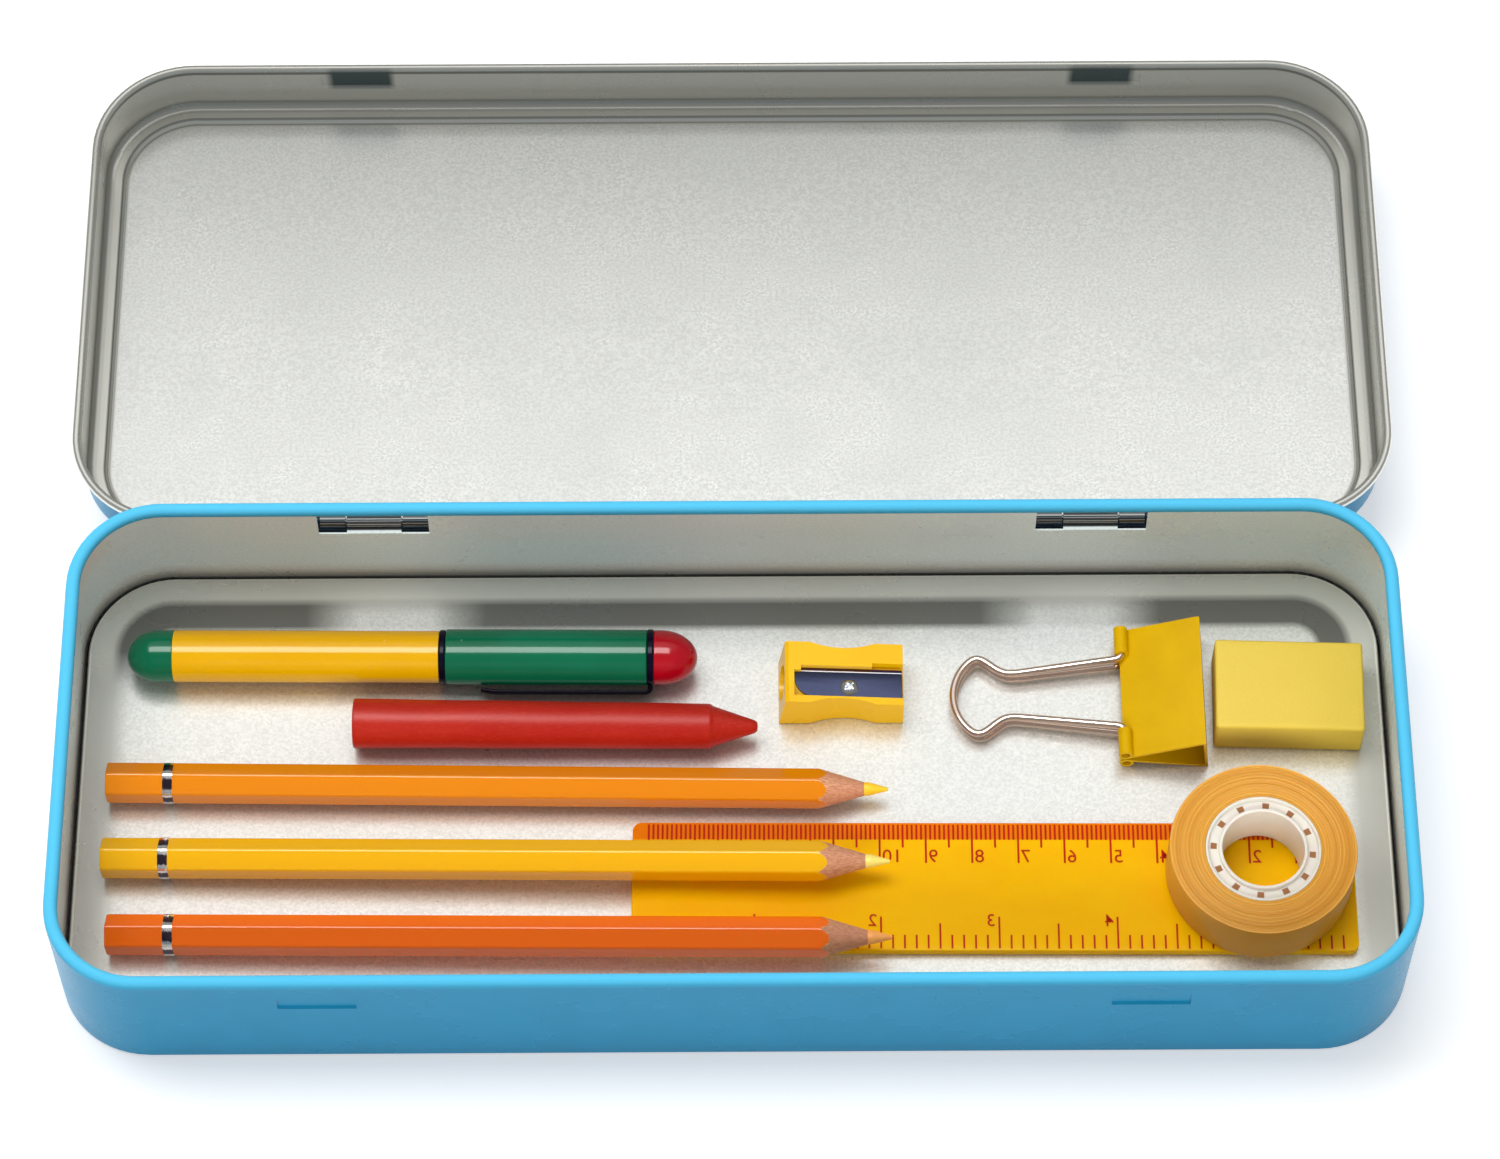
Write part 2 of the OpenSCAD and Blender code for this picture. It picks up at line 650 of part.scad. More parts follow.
// The middles of the curls, measured along the tin from the closed lips
pivot_low = [curl_x * cos(clip_tilt) + curl_z * sin(clip_tilt),
    clip_lift + curl_x * sin(clip_tilt) - curl_z * cos(clip_tilt)];
pivot_high = [curl_x * cos(clip_tilt) - curl_z * sin(clip_tilt),
    clip_lift + curl_x * sin(clip_tilt) + curl_z * cos(clip_tilt)];
loop_air = 0.5;                              // air between the two loops
droop_low = asin((pivot_low[1] - floor_z - seat - wire_r - 0.1) / handle_len);
loop_high = floor_z + seat + 0.1 + 3 * wire_r + loop_air;
droop_high = asin((pivot_high[1] - loop_high) / handle_len);
clip_reach = spine_reach - pivot_high[0] + handle_len * cos(droop_high) + wire_r;

// The back row: the air that the tin leaves its pieces is shared out between them in these parts
pen_room = 10.85;                            // from the left wall to the pen
cap_room = 17.8;                             // from the pen to the sharpener, so that the cap comes off
sharp_room = 10.07;                          // from the sharpener to the clip's loops
clip_room = 1.6;                             // from the clip's spine to the eraser
eraser_room = 6.35;                          // from the eraser to the right wall
crayon_room = 4.65;                          // from the crayon's point to the sharpener
row_ease = (base_len - pen_len - sharp_len - clip_reach - eraser_len)
    / (pen_room + cap_room + sharp_room + clip_room + eraser_room);
sharp_x = left_wall + (pen_room + cap_room) * row_ease + pen_len;
eraser_x = right_wall - eraser_room * row_ease - eraser_len / 2;
spring_x = eraser_x - eraser_len / 2 - clip_room * row_ease - spine_reach;

module one_leg() {
    offset_z = clip_t / cos(leg_slope);
    polygon([[0, lip_gap], [spine_at, spine_half - clip_t], [spine_at, spine_half],
        [spine_at - 0.3, spine_half], [0, lip_gap + offset_z]]);
}

module clip_spring() color("goldenrod")
    translate([spring_x, spring_y, clip_lift]) rotate([0, -clip_tilt, 0]) {
        rotate([90, 0, 0]) linear_extrude(height = clip_w, center = true) {
            one_leg();
            mirror([0, 1]) one_leg();
            translate([spine_at - cut, -spine_half]) square([clip_t + cut, clip_spine]);
        }
        for (sy = [-1, 1], sz = [-1, 1])
            translate([curl_x, sy * (clip_w - curl_len) / 2, sz * curl_z]) rotate([90, 0, 0]) difference() {
                cylinder(r = curl_out, h = curl_len, center = true);
                cylinder(r = curl_in, h = curl_len + 1, center = true);
            }
    }

neck = [handle_len - 11.4, 5.1];             // where the two wires come closest
shoulder = [handle_len - 5.6, 10.1];         // where the loop is widest
loop_sag = handle_len - shoulder[0];
loop_r = (pow(shoulder[1], 2) + pow(loop_sag, 2)) / (2 * loop_sag);
loop_half = asin(shoulder[1] / loop_r);
loop_steps = 12;
wire_sides = 16;
wire_exit = clip_w / 2 - curl_len - wire_r - 0.1;
wire_start = [[0, wire_exit], [-neck[0], neck[1]]];
wire_route = concat(wire_start,
    [for (k = [0:loop_steps]) let (a = 180 - loop_half + 2 * loop_half * k / loop_steps)
        [loop_r - handle_len + loop_r * cos(a), loop_r * sin(a)]],
    [for (k = [1:-1:0]) [wire_start[k][0], -wire_start[k][1]]]);

function heading(a, b) = (b - a) / norm(b - a);

// A round wire along points in the plane z = 0, as one ring of corners in the mitre plane of each bend
module bent_wire(route, r, sides) {
    last = len(route) - 1;
    corners = [for (k = [0:last])
        let (before = heading(route[max(k - 1, 0)], route[max(k, 1)]),
            after = heading(route[min(k, last - 1)], route[min(k + 1, last)]),
            along = (before + after) / norm(before + after),
            widen = 1 / (along * after))
        for (q = [0:sides - 1]) let (a = 360 * q / sides)
            [route[k][0] - r * widen * along[1] * cos(a),
                route[k][1] + r * widen * along[0] * cos(a), r * sin(a)]];
    polyhedron(corners, concat(
        [[for (q = [0:sides - 1]) q]],
        [for (k = [0:last - 1], q = [0:sides - 1]) let (next = (q + 1) % sides)
            [k * sides + q, (k + 1) * sides + q, (k + 1) * sides + next, k * sides + next]],
        [[for (q = [sides - 1:-1:0]) last * sides + q]]));
}

// A wire handle in the plane z = 0, with its pivot on the Y axis and its loop towards -X
module clip_handle() {
    bent_wire(wire_route, wire_r, wire_sides);
    for (s = [-1, 1])
        translate([0, s * (wire_exit + clip_w / 2 - 0.6 - wire_r) / 2, 0]) rotate([90, 0, 0])
            cylinder(r = wire_r, h = clip_w / 2 - 0.6 - wire_exit + wire_r, center = true);
}

module clip_handle_upper() color("silver")
    translate([spring_x + pivot_high[0], spring_y, pivot_high[1]]) rotate([0, -droop_high, 0]) clip_handle();

module clip_handle_lower() color("silver")
    translate([spring_x + pivot_low[0], spring_y, pivot_low[1]]) rotate([0, -droop_low, 0]) clip_handle();

base_shell();
lid_shell();
hinge_pins();
pencil_casing(0);  // pencil_1_casing
pencil_lead(0);  // pencil_1_lead
pencil_band(0);  // pencil_1_band
pencil_casing(1);  // pencil_2_casing
pencil_lead(1);  // pencil_2_lead
pencil_band(1);  // pencil_2_band
pencil_casing(2);  // pencil_3_casing
pencil_lead(2);  // pencil_3_lead
pencil_band(2);  // pencil_3_band
pen_barrel();
pen_end_plug();
pen_section();
pen_nib();
pen_ink_reservoir();
pen_collar();
pen_cap();
pen_cap_tip();
pen_clip();
crayon();
sharpener_body();
sharpener_blade();
sharpener_screw();
clip_spring();
clip_handle_upper();
clip_handle_lower();
eraser();
tape_roll();
tape_core();
ruler();
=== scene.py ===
# %% [markdown]
# # Dressing a pencil tin
# The tin, its hinged lid and everything that lies in it come from a CAD model as a fixed frame.
# This lesson gives that frame its finishes, and replaces the pieces whose edges and surfaces need more than CAD gives.

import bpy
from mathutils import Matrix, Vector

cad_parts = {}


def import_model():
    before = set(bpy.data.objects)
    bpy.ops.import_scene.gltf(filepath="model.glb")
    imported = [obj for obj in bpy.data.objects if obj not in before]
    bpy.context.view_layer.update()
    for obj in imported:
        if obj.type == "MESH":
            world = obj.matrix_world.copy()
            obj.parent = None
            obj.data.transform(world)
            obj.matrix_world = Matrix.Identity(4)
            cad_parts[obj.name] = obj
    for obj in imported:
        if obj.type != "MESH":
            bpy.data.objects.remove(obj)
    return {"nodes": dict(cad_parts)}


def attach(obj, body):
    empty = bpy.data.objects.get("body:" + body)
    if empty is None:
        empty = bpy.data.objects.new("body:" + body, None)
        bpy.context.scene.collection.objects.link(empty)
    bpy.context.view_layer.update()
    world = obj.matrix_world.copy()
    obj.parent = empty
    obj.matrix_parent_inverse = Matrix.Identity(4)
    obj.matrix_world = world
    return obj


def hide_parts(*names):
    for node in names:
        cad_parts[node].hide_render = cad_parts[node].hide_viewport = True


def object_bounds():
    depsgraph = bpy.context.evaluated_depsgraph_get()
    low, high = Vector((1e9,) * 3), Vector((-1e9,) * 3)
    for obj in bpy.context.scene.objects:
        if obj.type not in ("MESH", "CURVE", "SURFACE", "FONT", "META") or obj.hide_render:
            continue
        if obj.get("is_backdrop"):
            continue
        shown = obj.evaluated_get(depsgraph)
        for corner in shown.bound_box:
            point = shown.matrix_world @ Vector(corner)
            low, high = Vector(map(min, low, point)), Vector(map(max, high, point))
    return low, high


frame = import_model()
cad_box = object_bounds()

# %% Libraries and units
import bmesh
import bpy
import numpy as np
from mathutils import Matrix

MM = 0.001
ON_FLOOR = 3.55  # height, in millimetres, at which things lie in the tin
rad = np.radians


def colour(red, green, blue):
    """A colour written as a screen shows it, 0 to 255, turned into the light values that shaders use."""
    c = np.array([red, green, blue]) / 255
    lin = np.where(c < 0.04045, c / 12.92, ((c + 0.055) / 1.055) ** 2.4)
    return (*lin.tolist(), 1.0)


def put(name, data):
    """A new object in the scene."""
    made = bpy.data.objects.new(name, data)
    bpy.context.scene.collection.objects.link(made)
    return made


def aimed(right, above, back, at):
    """The matrix of a camera or lamp from its three axes and its place."""
    place = np.eye(4)
    place[:3] = np.stack([right, above, back, at], axis=1)
    return Matrix(place.tolist())


# %% [markdown]
# ## Camera
# A long lens looks down into the open tin from the front, at about 61 degrees.
# The camera could be aimed with a constraint, but here its three axes are worked out and put straight into its matrix.
# That keeps the small roll and yaw exact, and nothing live is left in the scene.

# %% Camera
camera = put("camera", bpy.data.cameras.new("camera"))
camera.data.sensor_width = 36
camera.data.lens = 118.25
camera.data.clip_start, camera.data.clip_end = 0.05, 20
yaw, rise, roll = rad(0.114), rad(60.82), rad(-0.195)
ahead = np.array([np.sin(yaw) * np.cos(rise), np.cos(yaw) * np.cos(rise), -np.sin(rise)])
right = np.array([np.cos(yaw), -np.sin(yaw), 0])
above = np.cross(right, ahead)
right, above = (np.cos(roll) * right + np.sin(roll) * above, np.cos(roll) * above - np.sin(roll) * right)
camera_at = np.array([2.775, -481.5, 965.2]) * MM
camera.matrix_world = aimed(right, above, -ahead, camera_at)
bpy.context.scene.camera = camera
print("camera at", camera_at.round(3), "looks along", ahead.round(3))

# %% [markdown]
# ## Surfaces from arrays
# A turned, swept or moulded piece is a grid of points: one index runs along it and the other runs round it.
# Blender's own primitives could be bent into these shapes, but a grid says exactly where each point lies,
# and numpy works out all of them at once. The helper joins the grid with quads, closes its ends with a fan,
# and turns every face outwards by the sign of the volume that the faces enclose.

# %% Grid to closed surface
def skin(grid, ring=False):
    """Points and faces of a tube: grid[i, j] goes along with i and round with j.
    With ring the tube closes on itself, otherwise each end is a fan of triangles to the mean of its last round."""
    n, m = grid.shape[:2]
    i, j = np.meshgrid(np.arange(n if ring else n - 1), np.arange(m), indexing="ij")
    i, j = i.ravel(), j.ravel()
    i2, j2 = (i + 1) % n, (j + 1) % m
    quads = np.stack([i * m + j, i * m + j2, i2 * m + j2, i2 * m + j], axis=1)
    points = grid.reshape(-1, 3)
    fans = np.zeros((0, 3), int)
    if not ring:
        k, k2, last = np.arange(m), (np.arange(m) + 1) % m, (n - 1) * m
        points = np.concatenate([points, [grid[0].mean(0), grid[-1].mean(0)]])
        fans = np.concatenate([np.stack([k2, k, np.full(m, n * m)], 1),
                               np.stack([last + k, last + k2, np.full(m, n * m + 1)], 1)])
    corners = points[np.concatenate([quads[:, [0, 1, 2]], quads[:, [0, 2, 3]], fans])]
    volume = np.einsum("ij,ij->i", corners[:, 0], np.cross(corners[:, 1], corners[:, 2])).sum() / 6
    if volume < 0:
        quads, fans = quads[:, ::-1], fans[:, ::-1]
    return points, quads.tolist() + fans.tolist(), abs(volume)


def joined(*skins):
    """Several skins as one: points are stacked, and each face's numbers grow by the points before it."""
    points, faces, start = [], [], 0
    for p, f, *_ in skins:
        points.append(p)
        faces += [[v + start for v in face] for face in f]
        start += len(p)
    return np.concatenate(points), faces, sum(s[2] for s in skins)


def make(name, body, shape, material, slot, stands_for=(), sharp=35):
    """Puts a skin, in millimetres, into a mesh in metres, and sets it on the CAD body that carries it."""
    points, faces, volume = shape
    mesh = bpy.data.meshes.new(name)
    mesh.from_pydata((points * MM).tolist(), [], faces)
    mesh.shade_smooth()
    mesh.set_sharp_from_angle(angle=rad(sharp))
    mesh.materials.append(material)
    piece = put(name, mesh)
    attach(piece, body)
    if stands_for:
        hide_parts(*stands_for)
    print(f"{name}: {len(points)} points, {volume / 1000:.2f} cm3")
    return piece


# %% [markdown]
# Everything in the tin lies a little askew. A piece is worked out along its own axis, and this helper lays it down:
# its first coordinate runs along the piece, the second to its left, and the third up.

# %% Lay a piece down
def laid(local, at, turn=0.0, rise=0.0):
    """Place = at + along * A + side * S + up * U, where A is turned in plan by turn and lifted by rise, in degrees."""
    t, r = rad(turn), rad(rise)
    a = np.array([np.cos(r) * np.cos(t), np.cos(r) * np.sin(t), np.sin(r)])
    s = np.array([-np.sin(t), np.cos(t), 0])
    u = np.cross(a, s)
    return np.array(at) + local @ np.stack([a, s, u])


def circle(sides):
    """Equal angles once round."""
    return np.linspace(0, 2 * np.pi, sides, endpoint=False)


def unit(rows):
    """Each row divided by its own length."""
    return rows / np.linalg.norm(rows, axis=1)[:, None]


def turned(profile, sides):
    """A lathe: each pair (along, radius) of the profile becomes a round of points at equal angles."""
    along, radius = np.array(profile, float).T[:, :, None]
    angle = circle(sides)
    return np.stack([along + 0 * angle, radius * np.cos(angle), radius * np.sin(angle)], axis=2)


def fillet(centre, radius, start, end, count=7):
    """Points of an arc round centre, from one angle to another in degrees, for a profile's rounded corner."""
    a = rad(np.linspace(start, end, count))
    return np.stack([centre[0] + radius * np.cos(a), centre[1] + radius * np.sin(a)], axis=1).tolist()


# %% [markdown]
# ## Building materials
# A material is a small network of nodes. One helper adds a node and fills its sockets, with a number or with a link.
# Sums would need a line of settings for each node, so a small class lets them be written as arithmetic instead:
# every operator adds one Math node to the tree that its value belongs to.
# Effects that several finishes share are node groups, which are built once and get other values in each material.

# %% Values and nodes
def fill(node, sockets):
    """Fills a node's sockets, by number or by name with underscores for spaces, with a value or with a link."""
    for key, given in sockets.items():
        socket = node.inputs[key.replace("_", " ") if isinstance(key, str) else key]
        if isinstance(given, Value):
            given.tree.links.new(given.socket, socket)
        else:
            socket.default_value = given


def outputs(node):
    """A node's outputs as values, found by number and by name."""
    found = {}
    for number, socket in enumerate(node.outputs):
        found[number] = Value(socket)
        found.setdefault(socket.name, found[number])
    return found


def add(tree, kind, sockets=None, **settings):
    """One shader node: settings are its own properties. Returns its outputs."""
    node = tree.nodes.new("ShaderNode" + kind)
    for key, given in settings.items():
        setattr(node, key, given)
    fill(node, sockets or {})
    return outputs(node)


class Value:
    """One output of a node. Sums of values are written with the usual signs."""

    def __init__(self, socket):
        self.socket, self.tree = socket, socket.id_data

    def maths(self, operation, other=0.0):
        return add(self.tree, "Math", {0: self, 1: other}, operation=operation)[0]

    def __add__(self, other):
        return self.maths("ADD", other)

    def __sub__(self, other):
        return self.maths("SUBTRACT", other)

    def __mul__(self, other):
        return self.maths("MULTIPLY", other)

    def __gt__(self, other):
        return self.maths("GREATER_THAN", other)

    def __lt__(self, other):
        return self.maths("LESS_THAN", other)

    def __abs__(self):
        return self.maths("ABSOLUTE")

    def __rsub__(self, number):
        return add(self.tree, "Math", {0: number, 1: self}, operation="SUBTRACT")[0]

    def vector(self, operation, other=(0, 0, 0)):
        """The same for directions and places. A dot product or a length comes out as a number."""
        result = add(self.tree, "VectorMath", {0: self, 1: other}, operation=operation)
        return result[1 if operation in ("DOT_PRODUCT", "LENGTH") else 0]

    def parts(self):
        found = add(self.tree, "SeparateXYZ", {0: self})
        return found[0], found[1], found[2]

    def ramp(self, low, high, to_low=0.0, to_high=1.0):
        """Stretches the value from the range low..high to another range, and stops at its ends."""
        return add(self.tree, "MapRange", {0: self, 1: low, 2: high, 3: to_low, 4: to_high})[0]

    def mix(self, a, b, kind="RGBA"):
        """a where this value is 0 and b where it is 1: colours, numbers (FLOAT) or directions (VECTOR)."""
        first, result = {"FLOAT": (2, 0), "VECTOR": (4, 1), "RGBA": (6, 2)}[kind]
        return add(self.tree, "Mix", {0: self, first: a, first + 1: b}, data_type=kind)[result]

    def noise(self, scale, detail=2.0, roughness=0.5):
        return add(self.tree, "TexNoise", {"Vector": self, "Scale": scale, "Detail": detail, "Roughness": roughness})[0]

    def stripes(self, scale, detail=2.0):
        """Noise along this one value."""
        return add(self.tree, "TexNoise", {"W": self, "Scale": scale, "Detail": detail}, noise_dimensions="1D")[0]


# %% Groups and materials
FINISH = {"Colour": "Color", "Roughness": "Float", "Normal": "Vector"}


def group(name, inputs, results=FINISH):
    """An empty node group. A socket is given by its kind, or by a number, which is its default."""
    tree = bpy.data.node_groups.new(name, "ShaderNodeTree")
    for way, table in (("INPUT", {"Vector": "Vector", **inputs}), ("OUTPUT", results)):
        for label, given in table.items():
            kind = given if isinstance(given, str) else "Float"
            socket = tree.interface.new_socket(name=label, in_out=way, socket_type="NodeSocket" + kind)
            if kind != given:
                socket.default_value = given
    return tree, outputs(tree.nodes.new("NodeGroupInput"))


def give(tree, **results):
    """What a group hands out."""
    fill(tree.nodes.new("NodeGroupOutput"), results)


def use(shared, place, **sockets):
    """Places a shared group in the tree that the coordinates belong to, and returns its outputs."""
    node = place.tree.nodes.new("ShaderNodeGroup")
    node.node_tree = shared
    fill(node, {"Vector": place, **sockets})
    return outputs(node)


def material(name):
    """A new material, its Principled shader and the piece's own coordinates."""
    made = bpy.data.materials.new(name)
    made.use_nodes = True
    made.node_tree.nodes.clear()
    shader = made.node_tree.nodes.new("ShaderNodeBsdfPrincipled")
    add(made.node_tree, "OutputMaterial", {"Surface": Value(shader.outputs[0])})
    return made, shader, add(made.node_tree, "TexCoord")["Object"]


def feed(shader, done=None, **sockets):
    """Fills the shader with what a shared finish gives, where there is one, and with single values."""
    if done:
        fill(shader, {"Base Color": done["Colour"], "Roughness": done["Roughness"], "Normal": done["Normal"]})
    fill(shader, sockets)


# %% [markdown]
# ## Shared effects
# *Grain* gives fine and broad unevenness to any surface. Its two noises feed the bump and the gloss.
# *Handling* gives what use leaves behind: smears, where fingers dulled the gloss, and a few specks of dust.

# %% Grain
grain, g = group("grain", {"Size mm": 0.5, "Stretch": 1.0, "Depth": 0.1},
                 {"Fine": "Float", "Broad": "Float", "Normal": "Vector"})
pulled = g["Vector"].vector("MULTIPLY", add(grain, "CombineXYZ", {0: g["Stretch"], 1: 1.0, 2: 1.0})[0])
per_metre = add(grain, "Math", {0: 1000.0, 1: g["Size mm"]}, operation="DIVIDE")[0]
fine, broad = pulled.noise(per_metre, 2.0, 0.6), pulled.noise(per_metre.maths("DIVIDE", 14.0), 3.0)
bump = add(grain, "Bump", {"Strength": 1.0, "Distance": g["Depth"] * MM, "Height": fine + broad})[0]
give(grain, Fine=fine, Broad=broad, Normal=bump)

# %% Handling
handling, h = group("handling", {"Amount": 1.0}, {"Smears": "Float", "Specks": "Float"})
smears = h["Vector"].noise(30.0).ramp(0.4, 0.8) * h["Amount"]
cells = add(handling, "TexVoronoi", {"Vector": h["Vector"], "Scale": 260.0})["Distance"]
specks = cells.ramp(0.07, 0.04) * h["Vector"].noise(90.0, 1.0).ramp(0.56, 0.6)
give(handling, Smears=smears, Specks=specks * h["Amount"])

# %% [markdown]
# ## Tinplate with enamel on one side
# The tin is pressed from one sheet: blue enamel outside, bare satin tinplate inside.
# Two materials on two sets of faces would do it, but the CAD shells are loose triangles, so one material finds the
# side instead. The outward direction at any point leads away from a smaller rectangle inside the rounded outline.
# On the walls a face is outside where its normal agrees with that direction. On the base's raised floor it is the
# other way round, because the floor's rise turns its upper face outwards, so the rule changes sign in the groove.

# %% Which side of the sheet
side_of_sheet, s = group("side of the sheet",
                         {"Facing": "Vector", "Inner corner": "Vector", "Underside": 1.0, "Groove": 0.0},
                         {"Outside": "Float", "Reach": "Float"})
held = s["Vector"].vector("MINIMUM", s["Inner corner"])
held = held.vector("MAXIMUM", s["Inner corner"].vector("MULTIPLY", (-1, -1, -1)))
away = s["Vector"].vector("SUBTRACT", held)
reach = away.vector("LENGTH")
way = (reach > s["Groove"]).ramp(0, 1, -200.0, 200.0)
score = away.vector("DOT_PRODUCT", s["Facing"]) * way + s["Facing"].parts()[2] * s["Underside"]
give(side_of_sheet, Outside=score > 0.0, Reach=reach)

# %% Tinplate and enamel as shared finishes
tinplate, t = group("satin tinplate", {})
rolled = use(grain, t["Vector"], Size_mm=0.6, Stretch=0.9, Depth=0.0004)
touched = use(handling, t["Vector"])["Smears"]
speckle = rolled["Fine"].ramp(0.36, 0.64).mix((0.8, 0.81, 0.77, 1), (0.985, 0.995, 0.955, 1))
give(tinplate, Colour=(touched * 0.3).mix(speckle, (0.83, 0.85, 0.84, 1)), Normal=rolled["Normal"],
     Roughness=rolled["Broad"].ramp(0.3, 0.7, 0.26, 0.29) + touched * 0.03)

enamel, e = group("blue enamel", {})
sprayed = use(grain, e["Vector"], Size_mm=0.9, Depth=0.0008)
worn = use(handling, e["Vector"])
blue = sprayed["Broad"].ramp(0.35, 0.65).mix(colour(26, 159, 208), colour(32, 164, 213))
blue = (worn["Smears"] * 0.1).mix(blue, colour(54, 170, 212))
give(enamel, Colour=(worn["Specks"] * 0.25).mix(blue, colour(150, 205, 232)), Normal=sprayed["Normal"],
     Roughness=sprayed["Broad"].ramp(0.3, 0.7, 0.24, 0.28) + worn["Smears"] * 0.05)

# %% [markdown]
# The base and the lid use the same two finishes. The lid is drawn open, so its coordinates are first turned back
# to the closed place with a Mapping node. A rolled rim shows only one side of the sheet: the base's rim is rolled
# inwards, so it is blue all round, with a painted highlight of lighter blue on top, and the lid's is rolled outwards,
# so it is bare metal.
# The hinge's knuckles lie in a narrow shut-in gap, and their shade is painted on: dark grey, with a few fine painted
# highlight lines along them.
# Inside the base the walls are painted a little cooler than the floor, a painted tint for the light they mirror, and
# the end walls of both are painted darker, as painted shade. Inside the lid two dark marks are the painted shade of the
# pressed catches.
# Bands of painted shade stand for the dark that the bare metal mirrors and for the shade in its grooves and folds: each
# band is a band of reach, which is the distance out from the inner rectangle, and of height, and the metal there is
# painted darker. Two of the base's bands start only behind the middle of the tin, and one of these is painted lighter
# opposite each hinge window, as painted light that comes through it. One narrow band along the edge of the base's
# raised floor is a painted highlight instead.

# %% Painted tin
YELLOWISH = 0.93
HINGE = np.array([0, 60.1, 22.6])


# A slightly yellow grey of tinplate at a tone, for the painted shade and painted highlight on the bare metal.
def dull_tin(tone):
    return (tone, tone, tone * YELLOWISH, 1)


def painted_tin(name, half, corner, underside, rim, is_base, bare_metal, hinge_from, painted_light_and_shade_bands, end_wall_shade_tone,
                groove=0.0, open_angle=0.0):
    """Both finishes on one shell. Lengths are in millimetres: half sizes and corner of the outline, height of the rim,
    place of the hinge, and the bands of painted light and shade as low and high reach, bottom, top, softness, tone and,
    where given, how far behind the middle they start and how far to each side they are painted lighter. A tone of 1
    makes a band a painted highlight. The end walls' painted shade has a tone of its own."""
    made, shader, own = material(name)
    place, facing = own, add(own.tree, "TexCoord")["Normal"]
    if open_angle:
        turn = rad(open_angle)
        spin = np.array([[1, 0, 0], [0, np.cos(turn), -np.sin(turn)], [0, np.sin(turn), np.cos(turn)]])
        back = (HINGE - spin @ HINGE) * MM
        place = add(own.tree, "Mapping", {0: own, 1: back.tolist(), 2: (turn, 0, 0)})[0]
        facing = add(own.tree, "Mapping", {0: facing, 2: (turn, 0, 0)}, vector_type="VECTOR")[0]
    side = use(side_of_sheet, place, Facing=facing, Underside=underside, Groove=groove * MM,
               Inner_corner=((half[0] - corner) * MM, (half[1] - corner) * MM, 1.0))
    outside, reach = side["Outside"], side["Reach"]
    east, north, level = place.parts()

    def off(value, middle):
        """How far a value is from a place, or from one of two places on both sides of the middle."""
        return abs(value - middle * MM)

    def within(value, low, high, soft):
        return value.ramp((low - soft) * MM, low * MM) * value.ramp((high + soft) * MM, high * MM)

    outside = outside.maths("MAXIMUM" if is_base else "MULTIPLY", level > rim * MM)
    knuckle = (off(abs(east), 79) < 12.8 * MM) * ((north > hinge_from * MM) * (level < 30 * MM))
    outside = outside * (1.0 - knuckle)
    # Painted shade on the hinge's knuckles in their shut-in gap: dark grey, with fine painted highlight lines along
    # them.
    knuckle_painted_shade_and_glints = (north + level * 1.7).stripes(1500.0, 1.0).ramp(0.55, 0.62)
    knuckle_painted_shade_and_glints = knuckle_painted_shade_and_glints.mix((0.07, 0.075, 0.075, 1), (0.5, 0.52, 0.52, 1))
    bare, paint = use(tinplate, own), use(enamel, own)
    tin_colour, painted_highlight_line = bare["Colour"], 0.0
    if is_base:
        # Painted tint: the base's walls are a little cooler than its floor, for the light that they mirror.
        tin_colour = level.ramp(5 * MM, 9 * MM, 0.0, 0.5).mix(tin_colour, (0.82, 1, 1, 1))
    # Painted shade: the end walls are darker, to the tone given for them.
    end_wall_painted_shade = abs(east).ramp((half[0] - 9) * MM, (half[0] - 3) * MM) * off(level, 28).ramp(6.5 * MM, 4.5 * MM)
    tin_colour = end_wall_painted_shade.mix(tin_colour, dull_tin(end_wall_shade_tone))
    # Bands of painted shade on the bare metal. Some are painted lighter opposite the hinge windows, as painted light.
    for low, high, bottom, top, soft, tone, *place in painted_light_and_shade_bands:
        here = within(reach, low, high, soft) * within(level, bottom, top, soft)
        if place:
            here = here * north.ramp(place[0] * MM, (place[0] + 8) * MM)
        if place[1:]:
            here = here * off(abs(east), place[1]).ramp(8 * MM, 20 * MM, 0.25, 1.0)
        tin_colour = here.mix(tin_colour, dull_tin(tone))
        # A tone of 1 is a painted highlight: a white line, which is also kept out of the metal below so that it shows
        # white.
        if tone == 1:
            painted_highlight_line = here
    if not is_base:
        # Painted shade of the pressed catches: two dark marks on the lid's far wall.
        catch_painted_shade = off(abs(east), 86).ramp(8.2 * MM, 6.4 * MM) * north.ramp((3 - half[1]) * MM, (2 - half[1]) * MM)
        catch_painted_shade = catch_painted_shade * (reach < (corner + 0.6) * MM) * off(level, 25).ramp(4.2 * MM, 2.6 * MM)
        tin_colour = catch_painted_shade.mix(tin_colour, (0.1, 0.14, 0.14, 1))
    # Painted highlight: the top of the base's rim is a lighter blue.
    blue = level.ramp(33.4 * MM, 35.2 * MM, 0.0, float(is_base)).mix(paint["Colour"], colour(94, 210, 254))
    feed(shader, Base_Color=knuckle.mix(outside.mix(tin_colour, blue), knuckle_painted_shade_and_glints),
         Roughness=outside.mix(bare["Roughness"], paint["Roughness"], "FLOAT"),
         Metallic=(1.0 - outside.maths("MAXIMUM", painted_highlight_line)) * level.ramp(3.6 * MM, 8 * MM, *bare_metal),
         Normal=outside.mix(bare["Normal"], paint["Normal"], "VECTOR"), IOR=1.5, Specular_IOR_Level=0.12)
    return made


